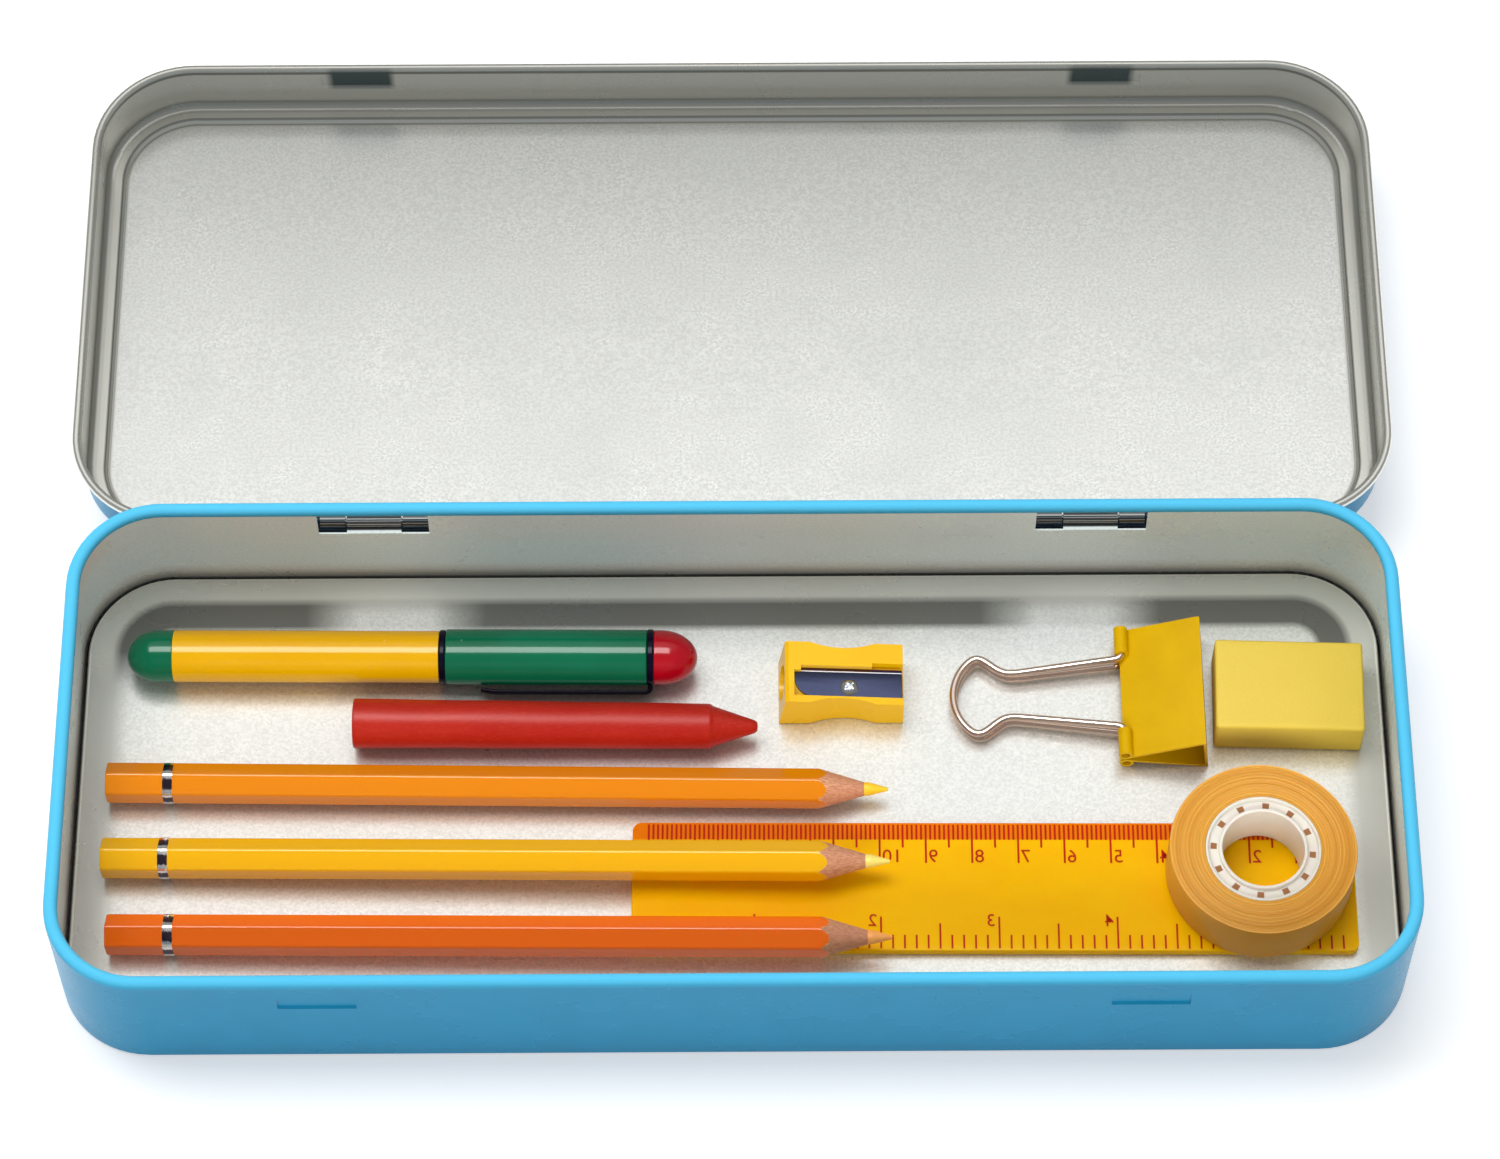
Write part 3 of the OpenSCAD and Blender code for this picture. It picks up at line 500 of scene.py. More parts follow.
# Bands of painted shade for the base and the lid. The base's last band, of tone 1, is a painted highlight line.
base_painted_light_and_shade = [(12.5, 18.6, 2.6, 4.5, 3.5, 0.7), (13.6, 18.6, 2.6, 4.5, 1.2, 0.82, 30),
                (6.2, 11.4, 2.6, 4.5, 1.8, 0.21, 30, 75), (18.7, 19.5, 0.0, 2.4, 0.15, 0.06),
                (18.05, 18.4, 2.6, 4.5, 0.12, 1)]
lid_painted_shade = [(15.7, 30.0, 20.0, 40.0, 0.4, 0.78), (19.4, 20.6, 33.8, 36.0, 0.8, 0.55),
               (16.9, 17.25, 34.5, 37.5, 0.15, 0.4), (15.9, 16.2, 36.0, 37.5, 0.15, 0.45),
               (20.4, 20.9, 22.0, 22.7, 0.3, 0.3)]
base_finish = painted_tin("base: blue enamel over tinplate", (144.25, 58), 20, -1.0, 32.2, True, (0.45, 0.15), 58.4,
                          base_painted_light_and_shade, 0.9, groove=19.0)
lid_finish = painted_tin("lid: blue enamel over tinplate", (144.95, 58.7), 20.7, 1.0, 23.2, False, (0.92, 0.92), 58.9,
                         lid_painted_shade, 0.6, open_angle=179.2)
print("finishes for base and lid are ready")

# %% [markdown]
# ## Finishes of the things inside
# Most of them are moulded plastic, so one group gives its faint unevenness, smears and dust, and each material
# sets its own colour and gloss. Lacquered wood, wax, rubber, wire and tape get their own networks.

# %% Moulded plastic
moulded, m = group("moulded plastic", {"Colour": "Color", "Shade": "Color", "Gloss": 0.2})
flow = use(grain, m["Vector"], Size_mm=0.7, Stretch=0.5, Depth=0.0005)
used = use(handling, m["Vector"], Amount=0.8)
body_colour = flow["Broad"].ramp(0.3, 0.7).mix(m["Colour"], m["Shade"])
give(moulded, Colour=(used["Specks"] * 0.2).mix(body_colour, (0.8, 0.78, 0.72, 1)), Normal=flow["Normal"],
     Roughness=m["Gloss"] + used["Smears"] * 0.14)


def plastic(name, main, shade, gloss=0.12, coat=0.25, shine=0.22):
    made, shader, own = material(name)
    feed(shader, use(moulded, own, Colour=colour(*main), Shade=colour(*shade), Gloss=gloss), IOR=1.5,
         Specular_IOR_Level=shine, Coat_Weight=coat, Coat_Roughness=0.04)
    return made


pen_yellow = plastic("pen: yellow plastic", (213, 161, 0), (209, 154, 0))
pen_green = plastic("pen: green plastic", (2, 97, 66), (0, 86, 56))
pen_red = plastic("pen: red plastic", (164, 6, 24), (148, 2, 18), coat=0.3)
pen_black = plastic("pen: black plastic", (14, 10, 30), (8, 6, 20), coat=0.0, shine=0.1)
sharpener_yellow = plastic("sharpener: yellow plastic", (230, 180, 0), (226, 172, 0), gloss=0.24, coat=0.08)

# %% Lacquered and sharpened wood
lacquered, c = group("lacquer over cedar", {"Paint": "Color", "Past the paint": 0.0}, {**FINISH, "Painted": "Float"})
fibres = use(grain, c["Vector"], Size_mm=0.28, Stretch=0.12, Depth=0.03)
dips = use(grain, c["Vector"], Size_mm=2.5, Stretch=0.3, Depth=0.004)
used = use(handling, c["Vector"], Amount=0.7)
painted = (c["Past the paint"] + fibres["Fine"].ramp(0.3, 0.7, -0.25, 0.25)).ramp(0.05, -0.05)
wood = fibres["Fine"].ramp(0.35, 0.68).mix(colour(176, 112, 78), colour(222, 170, 128))
wood = fibres["Broad"].ramp(0.4, 0.65, 0.0, 0.6).mix(wood, colour(196, 128, 100))
give(lacquered, Colour=painted.mix(wood, c["Paint"]), Painted=painted,
     Roughness=painted.ramp(0.0, 1.0, 0.62, 0.15) + used["Smears"] * 0.1,
     Normal=painted.mix(fibres["Normal"], dips["Normal"], "VECTOR"))


def pencil_finish(name, paint):
    made, shader, own = material(name)
    done = use(lacquered, own, Paint=paint,
               Past_the_paint=add(own.tree, "Attribute", attribute_name="past_paint")["Fac"])
    feed(shader, done, Specular_IOR_Level=0.25, IOR=1.5, Coat_Weight=done["Painted"] * 0.35, Coat_Roughness=0.04)
    return made


# %% Wax, rubber and lead
waxy, w = group("soft and matt", {"Colour": "Color", "Rubbed": "Color", "Size mm": 0.6, "Stretch": 1.0,
                                  "Depth": 0.03, "Dull": 0.5})
pores = use(grain, w["Vector"], Size_mm=w["Size mm"], Stretch=w["Stretch"], Depth=w["Depth"])
rubbed = use(handling, w["Vector"])["Smears"]
shown = rubbed * 0.5 + pores["Fine"].ramp(0.45, 0.8, 0.0, 0.5)
give(waxy, Colour=shown.mix(w["Colour"], w["Rubbed"]), Roughness=w["Dull"] - rubbed * 0.12, Normal=pores["Normal"])


def matt(name, main, rubbed_to, size=0.6, stretch=1.0, depth=0.03, dull=0.5, **extra):
    made, shader, own = material(name)
    feed(shader, use(waxy, own, Colour=colour(*main), Rubbed=colour(*rubbed_to), Size_mm=size, Stretch=stretch,
                     Depth=depth, Dull=dull), Specular_IOR_Level=0.2, **extra)
    return made


LEAD = dict(size=0.3, stretch=0.3, dull=0.45)
crayon_wax = matt("crayon: red wax", (158, 24, 12), (182, 46, 28), size=0.5, stretch=0.4, depth=0.02, dull=0.42,
                  Subsurface_Weight=0.15, Subsurface_Scale=0.002)
rubber = matt("eraser: pale yellow rubber", (210, 182, 66), (220, 192, 82), size=0.35, depth=0.02, dull=0.62)
lead_yellow = matt("lead: yellow", (244, 190, 30), (250, 214, 70), **LEAD)
lead_pale = matt("lead: pale yellow", (246, 218, 98), (250, 232, 140), **LEAD)
lead_orange = matt("lead: orange", (248, 160, 76), (252, 186, 116), **LEAD)
felt_dark = matt("pen: felt nib", (30, 30, 34), (52, 52, 58), size=0.2, dull=0.9)
wadding = matt("pen: ink wadding", (226, 226, 222), (240, 240, 238), size=0.3, depth=0.08, dull=0.9)

# %% Metals of the small parts
metal, k = group("drawn metal", {"Colour": "Color", "Dark": "Color", "Size mm": 0.2, "Stretch": 0.1, "Depth": 0.004,
                                 "Rough": 0.2})
lines = use(grain, k["Vector"], Size_mm=k["Size mm"], Stretch=k["Stretch"], Depth=k["Depth"])
dulled = use(handling, k["Vector"])["Smears"]
give(metal, Colour=((lines["Fine"] + dulled) * 0.5).mix(k["Colour"], k["Dark"]), Normal=lines["Normal"],
     Roughness=k["Rough"] + dulled * 0.12)


def metallic(name, main, dark, rough):
    made, shader, own = material(name)
    feed(shader, use(metal, own, Colour=(*main, 1), Dark=(*dark, 1), Rough=rough), Metallic=1.0)
    return made


# The hinge wire is painted dark, as painted shade, because it lies in the shut-in gap behind the windows.
hinge_wire_painted_dark = metallic("hinge: wire darkened as painted shade", (0.16, 0.18, 0.19), (0.05, 0.06, 0.06), 0.35)
screw_steel = metallic("sharpener: plated screw", (0.64, 0.67, 0.71), (0.3, 0.32, 0.36), 0.25)
wire_copper = metallic("clip: copper-toned wire", (0.84, 0.66, 0.56), (0.6, 0.43, 0.35), 0.14)

# %% [markdown]
# The sharpener's blade is blued steel with a ground strip along its cutting edge, which lies on the far side. A thin
# painted highlight, white and not metallic, runs along that edge.

# %% Blued blade with a ground strip
blade_steel, shader, own = material("sharpener: blued blade")
brushed = use(metal, own, Colour=(0.1, 0.115, 0.2, 1), Dark=(0.03, 0.035, 0.08, 1), Size_mm=0.12, Stretch=0.05)
north = own.parts()[1]
ground = north.ramp(27.26 * MM, 27.32 * MM)
# Painted highlight: a thin white line along the cutting edge, not metallic.
painted_edge_glint = ground * north.ramp(27.58 * MM, 27.5 * MM)
steel = ground.mix(brushed["Colour"], (0.1, 0.06, 0.17, 1))
feed(shader, brushed, Base_Color=painted_edge_glint.mix(steel, (0.85, 0.85, 0.9, 1)), Metallic=1.0 - painted_edge_glint)

# %% [markdown]
# The foil bands are stamped tight over the pencils. On each flat the middle mirrors the dark room in front and the
# edges mirror the light, and this reflection is painted: the tone follows the distance from the middle of the flat, an
# attribute of the band.

# %% Stamped foil
foil, shader, own = material("pencil: silver foil")
creased = use(grain, own, Size_mm=0.5, Depth=0.004)
off_middle = add(own.tree, "Attribute", attribute_name="from_middle")["Fac"]
# Painted reflection: dark in the middle of each flat and light towards its edges.
painted_reflection_edge = (off_middle + creased["Fine"].ramp(0.3, 0.7, -0.12, 0.12)).ramp(0.45, 0.62)
feed(shader, Base_Color=painted_reflection_edge.mix((0.07, 0.05, 0.075, 1), (0.95, 0.93, 0.94, 1)), Metallic=1.0,
     Roughness=creased["Broad"].ramp(0.3, 0.7, 0.12, 0.3), Normal=creased["Normal"])

# %% Enamelled spring steel of the clip
clip_ochre, shader, own = material("clip: ochre enamel")
orange_peel = use(grain, own, Size_mm=0.5, Depth=0.008)
scuffed = use(handling, own)["Smears"]
ochre = orange_peel["Broad"].ramp(0.3, 0.7).mix(colour(206, 162, 0), colour(198, 154, 0))
feed(shader, Base_Color=(scuffed * 0.3).mix(ochre, colour(214, 172, 16)), Roughness=scuffed * 0.1 + 0.2,
     Normal=orange_peel["Normal"], Specular_IOR_Level=0.08, IOR=1.5)

# %% [markdown]
# The tape is hundreds of thin clear layers. From above they show as fine rings, so the pattern follows the distance
# from the roll's middle. From the side the layers hide each other, and only a soft sheen is left.

# %% Wound tape
tape_at = (113.25, -18.9, 5.9)


def from_roll(own):
    """Coordinates counted from the roll's middle, and the distance from it in plan."""
    centred = add(own.tree, "Mapping", {0: own, 1: (-tape_at[0] * MM, -tape_at[1] * MM, 0)})[0]
    return centred, centred.vector("MULTIPLY", (1, 1, 0)).vector("LENGTH")


tape_film, shader, own = material("tape: wound film")
_, out_from_middle = from_roll(own)
rings, bands = out_from_middle.stripes(2600.0), out_from_middle.stripes(420.0)
amber = bands.ramp(0.3, 0.7).mix(colour(214, 152, 56), colour(196, 134, 42))
amber = rings.ramp(0.5, 0.72, 0.0, 0.55).mix(amber, colour(230, 178, 92))
amber = (use(handling, own)["Smears"] * 0.3).mix(amber, colour(222, 164, 74))
wound = add(own.tree, "Bump", {"Strength": 0.6, "Distance": 0.00004, "Height": rings})[0]
feed(shader, Base_Color=amber, Roughness=rings.ramp(0.3, 0.7, 0.26, 0.4), Normal=wound,
     Subsurface_Weight=0.2, Subsurface_Scale=0.003, IOR=1.48, Specular_IOR_Level=0.15)

# %% [markdown]
# The roll sits on a hub of white plastic: two rings with a recessed band between them. Its twelve small openings
# aren't cut: they are painted as spots of darker amber, the windings seen in shade through them, and they are found
# by their angle and radius round the roll's middle.

# %% Hub with twelve painted openings
WINDOW_AT, WINDOW_STEP, FIRST_WINDOW = 10.6, rad(30), rad(360 + 6 + 15)
hub_white, shader, own = material("tape hub: white plastic")
centred, hub_radius = from_roll(own)
hub_x, hub_y, _ = centred.parts()
angle = hub_y.maths("ARCTAN2", hub_x) + FIRST_WINDOW
across_window = abs(angle.maths("MODULO", WINDOW_STEP) - WINDOW_STEP / 2) * WINDOW_AT
along_window = abs(hub_radius - WINDOW_AT * MM) * 1000.0
# Painted openings: spots of darker amber for the windings seen in shade through holes that aren't cut.
painted_opening_spots = across_window.ramp(0.8, 0.65) * along_window.ramp(0.75, 0.6)
cast = use(moulded, own, Colour=colour(226, 220, 210), Shade=colour(216, 208, 196), Gloss=0.3)
feed(shader, cast, Base_Color=painted_opening_spots.mix(cast["Colour"], colour(150, 98, 58)), Subsurface_Weight=0.25,
     Subsurface_Scale=0.002, Specular_IOR_Level=0.15)

# %% [markdown]
# The ruler is clear yellow plastic lying face down. Along its millimetre edge the plastic is thinner and the marks
# stand close, so that strip looks more orange. The strip's place is found in the ruler's own turned coordinates.

# %% Clear yellow ruler
ruler_at, ruler_turn, ruler_size = (56.0, -21.75, ON_FLOOR), -0.4, (156.0, 30.5, 2.2)
ruler_plastic, shader, own = material("ruler: clear yellow plastic")
turn = rad(-ruler_turn)
back = -np.array([[np.cos(turn), -np.sin(turn)], [np.sin(turn), np.cos(turn)]]) @ np.array(ruler_at[:2]) * MM
along_ruler = add(own.tree, "Mapping", {0: own, 1: (*back.tolist(), 0), 2: (0, 0, turn)})[0]
strip = along_ruler.parts()[1].ramp((ruler_size[1] / 2 - 4.3) * MM, (ruler_size[1] / 2 - 3.9) * MM)
cast = use(moulded, own, Colour=colour(252, 190, 0), Shade=colour(248, 180, 0), Gloss=0.1)
feed(shader, cast, Base_Color=strip.mix(cast["Colour"], colour(232, 122, 0)), IOR=1.49, Specular_IOR_Level=0.06,
     Subsurface_Weight=0.3, Subsurface_Scale=0.004)
ruler_ink, shader, own = material("ruler: red-orange ink")
printed = use(grain, own, Size_mm=0.25, Depth=0.002)
feed(shader, Base_Color=printed["Fine"].ramp(0.3, 0.75).mix(colour(176, 20, 0), colour(192, 34, 0)),
     Roughness=printed["Broad"].ramp(0.3, 0.7, 0.3, 0.45), Normal=printed["Normal"], Specular_IOR_Level=0.05)
print("materials:", len(bpy.data.materials))

# %% [markdown]
# ## Finishes on CAD pieces that stay
# Pieces whose CAD shape is right only get a finish. The object itself isn't touched: only its material slots are.

# %% Dress the CAD pieces
dress = {"base_shell": base_finish, "lid_shell": lid_finish, "hinge_pins": hinge_wire_painted_dark,
         "pencil_1_lead": lead_yellow, "pencil_2_lead": lead_pale, "pencil_3_lead": lead_orange,
         "pen_section": pen_black, "pen_nib": felt_dark, "pen_ink_reservoir": wadding}
for node, finish in dress.items():
    slots = frame["nodes"][node].data.materials
    slots.clear()
    slots.append(finish)
print("dressed:", ", ".join(dress))

# %% [markdown]
# ## Pencils
# A hexagonal pencil has slightly rounded edges under its lacquer. Where the sharpener's cone meets the six flats,
# the paint ends in scallops. One surface carries both: at each angle the paint's edge lies where the cone's radius
# equals the hexagon's, and one round of the grid follows it exactly, so the scallops come out sharp.

# %% Rounded hexagon and sharpened casing
def hexagon(angle, corner=4.5, rounding=0.8):
    """Radius at an angle from a corner: flat distance over the cosine from the flat's middle, and near a corner the
    far side of a small circle that touches both flats."""
    flat = corner * np.cos(np.pi / 6)
    off_corner = np.abs((angle + np.pi / 6) % (np.pi / 3) - np.pi / 6)
    centre = (flat - rounding) / np.cos(np.pi / 6)
    touch = np.arctan2(rounding * 0.5, centre + rounding * np.cos(np.pi / 6))
    arc = centre * np.cos(off_corner) + np.sqrt(np.maximum(rounding ** 2 - (centre * np.sin(off_corner)) ** 2, 0))
    return np.where(off_corner < touch, arc, flat / np.cos(np.pi / 6 - off_corner))


def casing(tip, cone=15.5, corner=4.5, lead=1.52, sides=216):
    """A pencil's wood: a dipped butt whose radius eases in as a quarter circle, a hexagon, and then the cone whose
    radius falls evenly to the lead. Returns the grid and how far each point lies past the paint's edge."""
    angle = circle(sides)
    shape = hexagon(angle)
    edge = tip - cone * shape / corner
    ease = np.linspace(0, 1, 9)[:, None] ** 1.6
    butt_along = 0.15 + 1.15 * (1 - np.sqrt(1 - ease ** 2)) * np.ones(sides)
    butt_round = shape * (0.86 + 0.14 * np.sqrt(1 - (1 - ease) ** 2.4))
    first = np.linspace(0, 1, 61)[1:, None] ** 0.6
    body_along = 1.3 + (edge - 1.3) * first
    body_round = shape * np.ones((60, 1))
    last = np.linspace(0, 1, 31)[1:, None]
    cone_round = shape + (lead - shape) * last
    cone_along = tip - cone * cone_round / corner
    inside = np.full((1, sides), tip - cone * lead / corner - 1.0)
    along = np.concatenate([butt_along, body_along, cone_along, inside])
    radius = np.concatenate([butt_round, body_round, cone_round, np.full((1, sides), lead - 0.3)])
    grid = np.stack([along, radius * np.sin(angle), radius * np.cos(angle)], axis=2)
    return grid, along - edge


def record(piece, name, values, ends):
    """Keeps a value for each point of a piece, and one for the middle of each end, as an attribute."""
    values = np.concatenate([np.ravel(values), ends]).astype(np.float32)
    piece.data.attributes.new(name, "FLOAT", "POINT").data.foreach_set("value", values)


# %% Three pencils
tip_rise = np.degrees(np.arctan(2.35 / 114.25))
pencils = [("1", (-136.4, 3.2, 8.05), -0.87, 0.0, 170.0, colour(214, 124, 4), "pencil_orange_yellow"),
           ("2", (-136.4, -15.0, 8.05), -1.16, tip_rise, 170.0, colour(234, 174, 2), "pencil_yellow"),
           ("3", (-134.4, -33.2, 8.05), -1.1, tip_rise, 168.2, colour(244, 106, 4), "pencil_orange")]
angle = circle(144)
from_middle = np.abs((angle + np.pi / 3) % (np.pi / 3) - np.pi / 6) * 6 / np.pi
rounds = np.array([[12.6, -0.1], [12.6, 0.05], [12.7, 0.08], [13.6, 0.09], [14.6, 0.08], [14.7, 0.05], [14.7, -0.1]])
radius = (hexagon(angle) + 0.1 * (1 - from_middle ** 2))[None, :] + rounds[:, 1:]
band = np.stack([rounds[:, :1] * np.ones(144), radius * np.sin(angle), radius * np.cos(angle)], axis=2)
for number, at, turn, rise, tip, paint, slot in pencils:
    body = f"pencil_{number}"
    grid, past = casing(tip)
    finish = pencil_finish(f"pencil {number}: lacquer and cedar", paint)
    wood_piece = make(body + "_casing", body, skin(laid(grid, at, turn, rise)), finish, slot, [body + "_casing"],
                      sharp=50)
    record(wood_piece, "past_paint", past, [-50.0, 5.0])
    foil_piece = make(body + "_foil_band", body, skin(laid(band, at, turn, rise)), foil, "foil", [body + "_band"])
    record(foil_piece, "from_middle", np.tile(from_middle, len(rounds)), [1.0, 1.0])

# %% [markdown]
# ## Felt pen
# Barrel, cap, plug, tip and rings are all turned shapes on one axis. A lathe function draws each from its profile,
# with small fillets where real mouldings have them. The clip is a flat bar carried along a bent path.

# %% Pen's turned pieces
pen_at, pen_turn = (-133.4, 33.6, 9.7), -0.55


def bullet(start, end, radius, dome):
    """Profile of a round-ended plug: a quarter ellipse of length dome, and then a straight side with a small edge."""
    a = rad(np.linspace(0, 90, 22))
    side = np.sign(end - start)
    nose = np.stack([start + side * dome * (1 - np.cos(a)), radius * np.sin(a)], axis=1)
    nose[0, 1] = 0.02
    return np.concatenate([nose, [[end - side * 0.15, radius], [end, radius - 0.15], [end, radius - 1.0]]])


def tube(start, end, radius, bore, edge):
    """Profile of an open tube that closes on itself: outside with two rounded edges, and back along the bore."""
    return ([[start, bore]] + fillet((start + edge, radius - edge), edge, 180, 90, 5)
            + fillet((end - edge, radius - edge), edge, 90, 0, 5) + [[end, bore]])


def pen_piece(name, body, profile, finish, slot, node, ring=False, sides=112):
    grid = laid(turned(profile, sides), pen_at, pen_turn)
    return make(name, body, skin(grid, ring), finish, slot, [node])


pen_piece("pen_plug", "pen", bullet(0.0, 10.4, 5.72, 6.6), pen_green, "pen_green", "pen_end_plug")
pen_piece("pen_tube", "pen", tube(10.4, 68.8, 5.75, 4.65, 0.12), pen_yellow, "pen_yellow", "pen_barrel", ring=True)
pen_piece("pen_front_ring", "pen", tube(68.8, 70.3, 6.0, 4.65, 0.45), pen_black, "pen_black", "pen_collar", ring=True)
pen_piece("pen_cap_tube", "pen_cap", tube(70.3, 114.5, 6.15, 5.0, 0.3), pen_green, "pen_green", "pen_cap", ring=True)
pen_piece("pen_cap_nose", "pen_cap", bullet(125.6, 116.0, 6.05, 8.2), pen_red, "pen_red", "pen_cap_tip")

# %% Pen clip
def carried(path, across, width, height, corner):
    """A bar with rounded edges along a path: at each point the section's width lies across, and its height at right
    angles to both. The section is a rounded rectangle, worked out by angle as a square pulled towards a circle."""
    ahead = unit(np.gradient(path, axis=0))
    across = unit(across[None, :] - (ahead @ across)[:, None] * ahead)
    outward = np.cross(across, ahead)
    c, s = np.cos(circle(32)), np.sin(circle(32))
    reach = (np.abs(c) ** corner + np.abs(s) ** corner) ** (-1 / corner)
    return (path[:, None, :] + across[:, None, :] * (width / 2 * reach * c)[None, :, None]
            + outward[:, None, :] * (height / 2 * reach * s)[None, :, None])


side_dir = np.array([0, np.sin(rad(-62)), -np.cos(rad(-62))])
tangent = np.cross([1, 0, 0], side_dir)
steps = np.array([[115.25, 5.6], [115.25, 6.7], [115.1, 7.25], [114.6, 7.6], [113.6, 7.7], [105, 7.72], [92, 7.72],
                  [82, 7.7], [80.4, 7.62], [79.2, 7.4], [78.3, 7.25], [77.95, 7.3]])
count = np.linspace(0, len(steps) - 1, 90)
smooth = np.stack([np.interp(count, np.arange(len(steps)), steps[:, k]) for k in (0, 1)], axis=1)
for _ in range(3):
    smooth[1:-1] = (smooth[:-2] + 2 * smooth[1:-1] + smooth[2:]) / 4
path = np.stack([smooth[:, 0], 0 * smooth[:, 0], 0 * smooth[:, 0]], axis=1) + smooth[:, 1:] * side_dir
arm = skin(laid(carried(path, tangent, 2.6, 1.1, 5), pen_at, pen_turn))
ring = skin(laid(turned(tube(114.5, 116.0, 6.25, 5.0, 0.35), 112), pen_at, pen_turn), ring=True)
make("pen_clip_and_ring", "pen_cap", joined(ring, arm), pen_black, "pen_black", ["pen_clip"])

# %% [markdown]
# ## Crayon
# A moulded wax stick has a softened butt, a faint draft, a narrow shoulder and a blunt cone. The lathe draws it, and
# a low wave along its length keeps it from looking machined.

# %% Crayon
tilt = np.degrees(np.arctan(0.45 / 78.4))
profile = ([[0.0, 0.02], [0.0, 4.9]] + fillet((0.45, 5.02), 0.45, 180, 90, 6)
           + [[x, 5.47 - 0.45 * x / 78.4] for x in np.linspace(2, 77.6, 60)]
           + [[78.0, 4.98], [78.35, 4.75], [78.6, 4.5]]
           + [[x, 4.42 - 2.9 * (x - 78.9) / 8.6] for x in np.linspace(78.9, 87.5, 18)]
           + [[87.95, 1.3], [88.3, 0.95], [88.4, 0.6], [88.4, 0.02]])
wax = turned(profile, 120)
wave = 1 - 0.006 + 0.006 * np.sin(wax[:, :, 0] * 0.21 + 2 * np.arctan2(wax[:, :, 2], wax[:, :, 1]))
wax[:, :, 1:] *= wave[:, :, None]
make("crayon_stick", "crayon", skin(laid(wax, (-83.05, 16.9, 9.05), -0.7, -tilt)), crayon_wax, "crayon_wax", ["crayon"],
     sharp=60)

# %% [markdown]
# ## Eraser
# A block of rubber has soft edges and faces that aren't quite flat. The outline is a rounded rectangle, and the
# profile carries it from the bottom's middle round both edges to the top's middle.

# %% Rounded block
def outline(half_l, half_w, corner, per_corner=10, per_side=14):
    """Corner and side points of a rounded rectangle, anticlockwise, as unit corners plus arcs of the corner radius."""
    arcs = [np.array(fillet((sx * (half_l - corner), sy * (half_w - corner)), corner, 90 * k, 90 * k + 90, per_corner))
            for k, (sx, sy) in enumerate([(1, 1), (-1, 1), (-1, -1), (1, -1)])]
    share = np.linspace(0, 1, per_side + 2)[1:-1, None]
    return np.concatenate([p for arc, after in zip(arcs, arcs[1:] + arcs[:1])
                           for p in (arc, arc[-1] + (after[0] - arc[-1]) * share)])


def block(length, width, height, edge, corner, rounds=12):
    """Rounds of a block: near the bottom and the top the outline shrinks to the middle, and along an edge of radius
    edge it moves in by edge * (1 - cos) while it rises by edge * sin."""
    a = rad(np.linspace(-90, 0, 7))
    lower = [(edge * (1 - np.cos(t)), edge + edge * np.sin(t)) for t in a]
    upper = [(inset, height - z) for inset, z in lower[::-1]]
    middle = [(0.0, z) for z in np.linspace(edge, height - edge, 8)[1:-1]]
    full = outline(length / 2, width / 2, corner)
    small = outline(length / 2 - edge, width / 2 - edge, max(corner - edge, 0.05))
    shares = np.linspace(0.04, 1, rounds)[:-1]
    layers = [(small * share, 0.0) for share in shares]
    layers += [(full + (small - full) * inset / edge, z) for inset, z in lower + middle + upper]
    layers += [(small * share, height) for share in shares[::-1]]
    return np.array([np.column_stack([flat, np.full(len(flat), z)]) for flat, z in layers])


gum = block(32.4, 21.9, 10.0, 0.7, 0.9)
x, y, z = gum[:, :, 0], gum[:, :, 1], gum[:, :, 2]
gum[:, :, 2] -= 0.12 * (z / 10) * (1 - np.cos(np.clip(x / 16.2, -1, 1) * np.pi) * 0.5) * (y / 11) ** 2
gum[:, :, 1] *= 1 - 0.012 * np.cos(x / 16.2 * 1.6) * (z / 10)
make("eraser_block", "eraser", skin(laid(gum, (121.7, 23.1, ON_FLOOR), -1.9)), rubber, "rubber", ["eraser"], sharp=50)

# %% [markdown]
# ## Ruler and its print
# The plate is the same rounded block, very flat, with its front half thinned underneath. The print is a set of thin
# bars, all worked out at once from their places along the scale, and numerals made from Blender's own font.
# The ruler lies face down, so the numerals read mirrored, and the inches run the other way along the front edge.

# %% Ruler
plate = block(*ruler_size, 0.35, 2.0)
thin = np.clip((plate[:, :, 1] - (ruler_size[1] / 2 - 7)) / 7, 0, 1)
plate[:, :, 2] = np.maximum(plate[:, :, 2], plate[:, :, 2] + (1 - plate[:, :, 2] / 2.2) * thin * 1.05)
make("ruler_plate", "ruler", skin(laid(plate, ruler_at, ruler_turn)), ruler_plastic, "ruler_yellow", ["ruler"])


def corners(mesh):
    """A mesh's points as an array."""
    points = np.zeros(len(mesh.vertices) * 3)
    mesh.vertices.foreach_get("co", points)
    return points.reshape(-1, 3)


def bars(centres, widths, low, high, z=(2.17, 2.235)):
    """Thin upright boxes: every corner is the centre plus or minus half the width, at the low or high end and level."""
    corner = np.array([[sx, end, lv] for lv in (0, 1) for end in (0, 1) for sx in (-0.5, 0.5)], float)
    x = centres[:, None] + corner[:, 0] * widths
    y = low[:, None] * (1 - corner[:, 1]) + high[:, None] * corner[:, 1]
    points = np.stack([x, y, np.broadcast_to(np.where(corner[:, 2] > 0, z[1], z[0]), x.shape)], axis=2)
    faces = np.array([[0, 2, 3, 1], [4, 5, 7, 6], [0, 1, 5, 4], [2, 6, 7, 3], [0, 4, 6, 2], [1, 3, 7, 5]])
    every = (faces[None] + 8 * np.arange(len(centres))[:, None, None]).reshape(-1, 4)
    return points.reshape(-1, 3), every.tolist(), 0.0


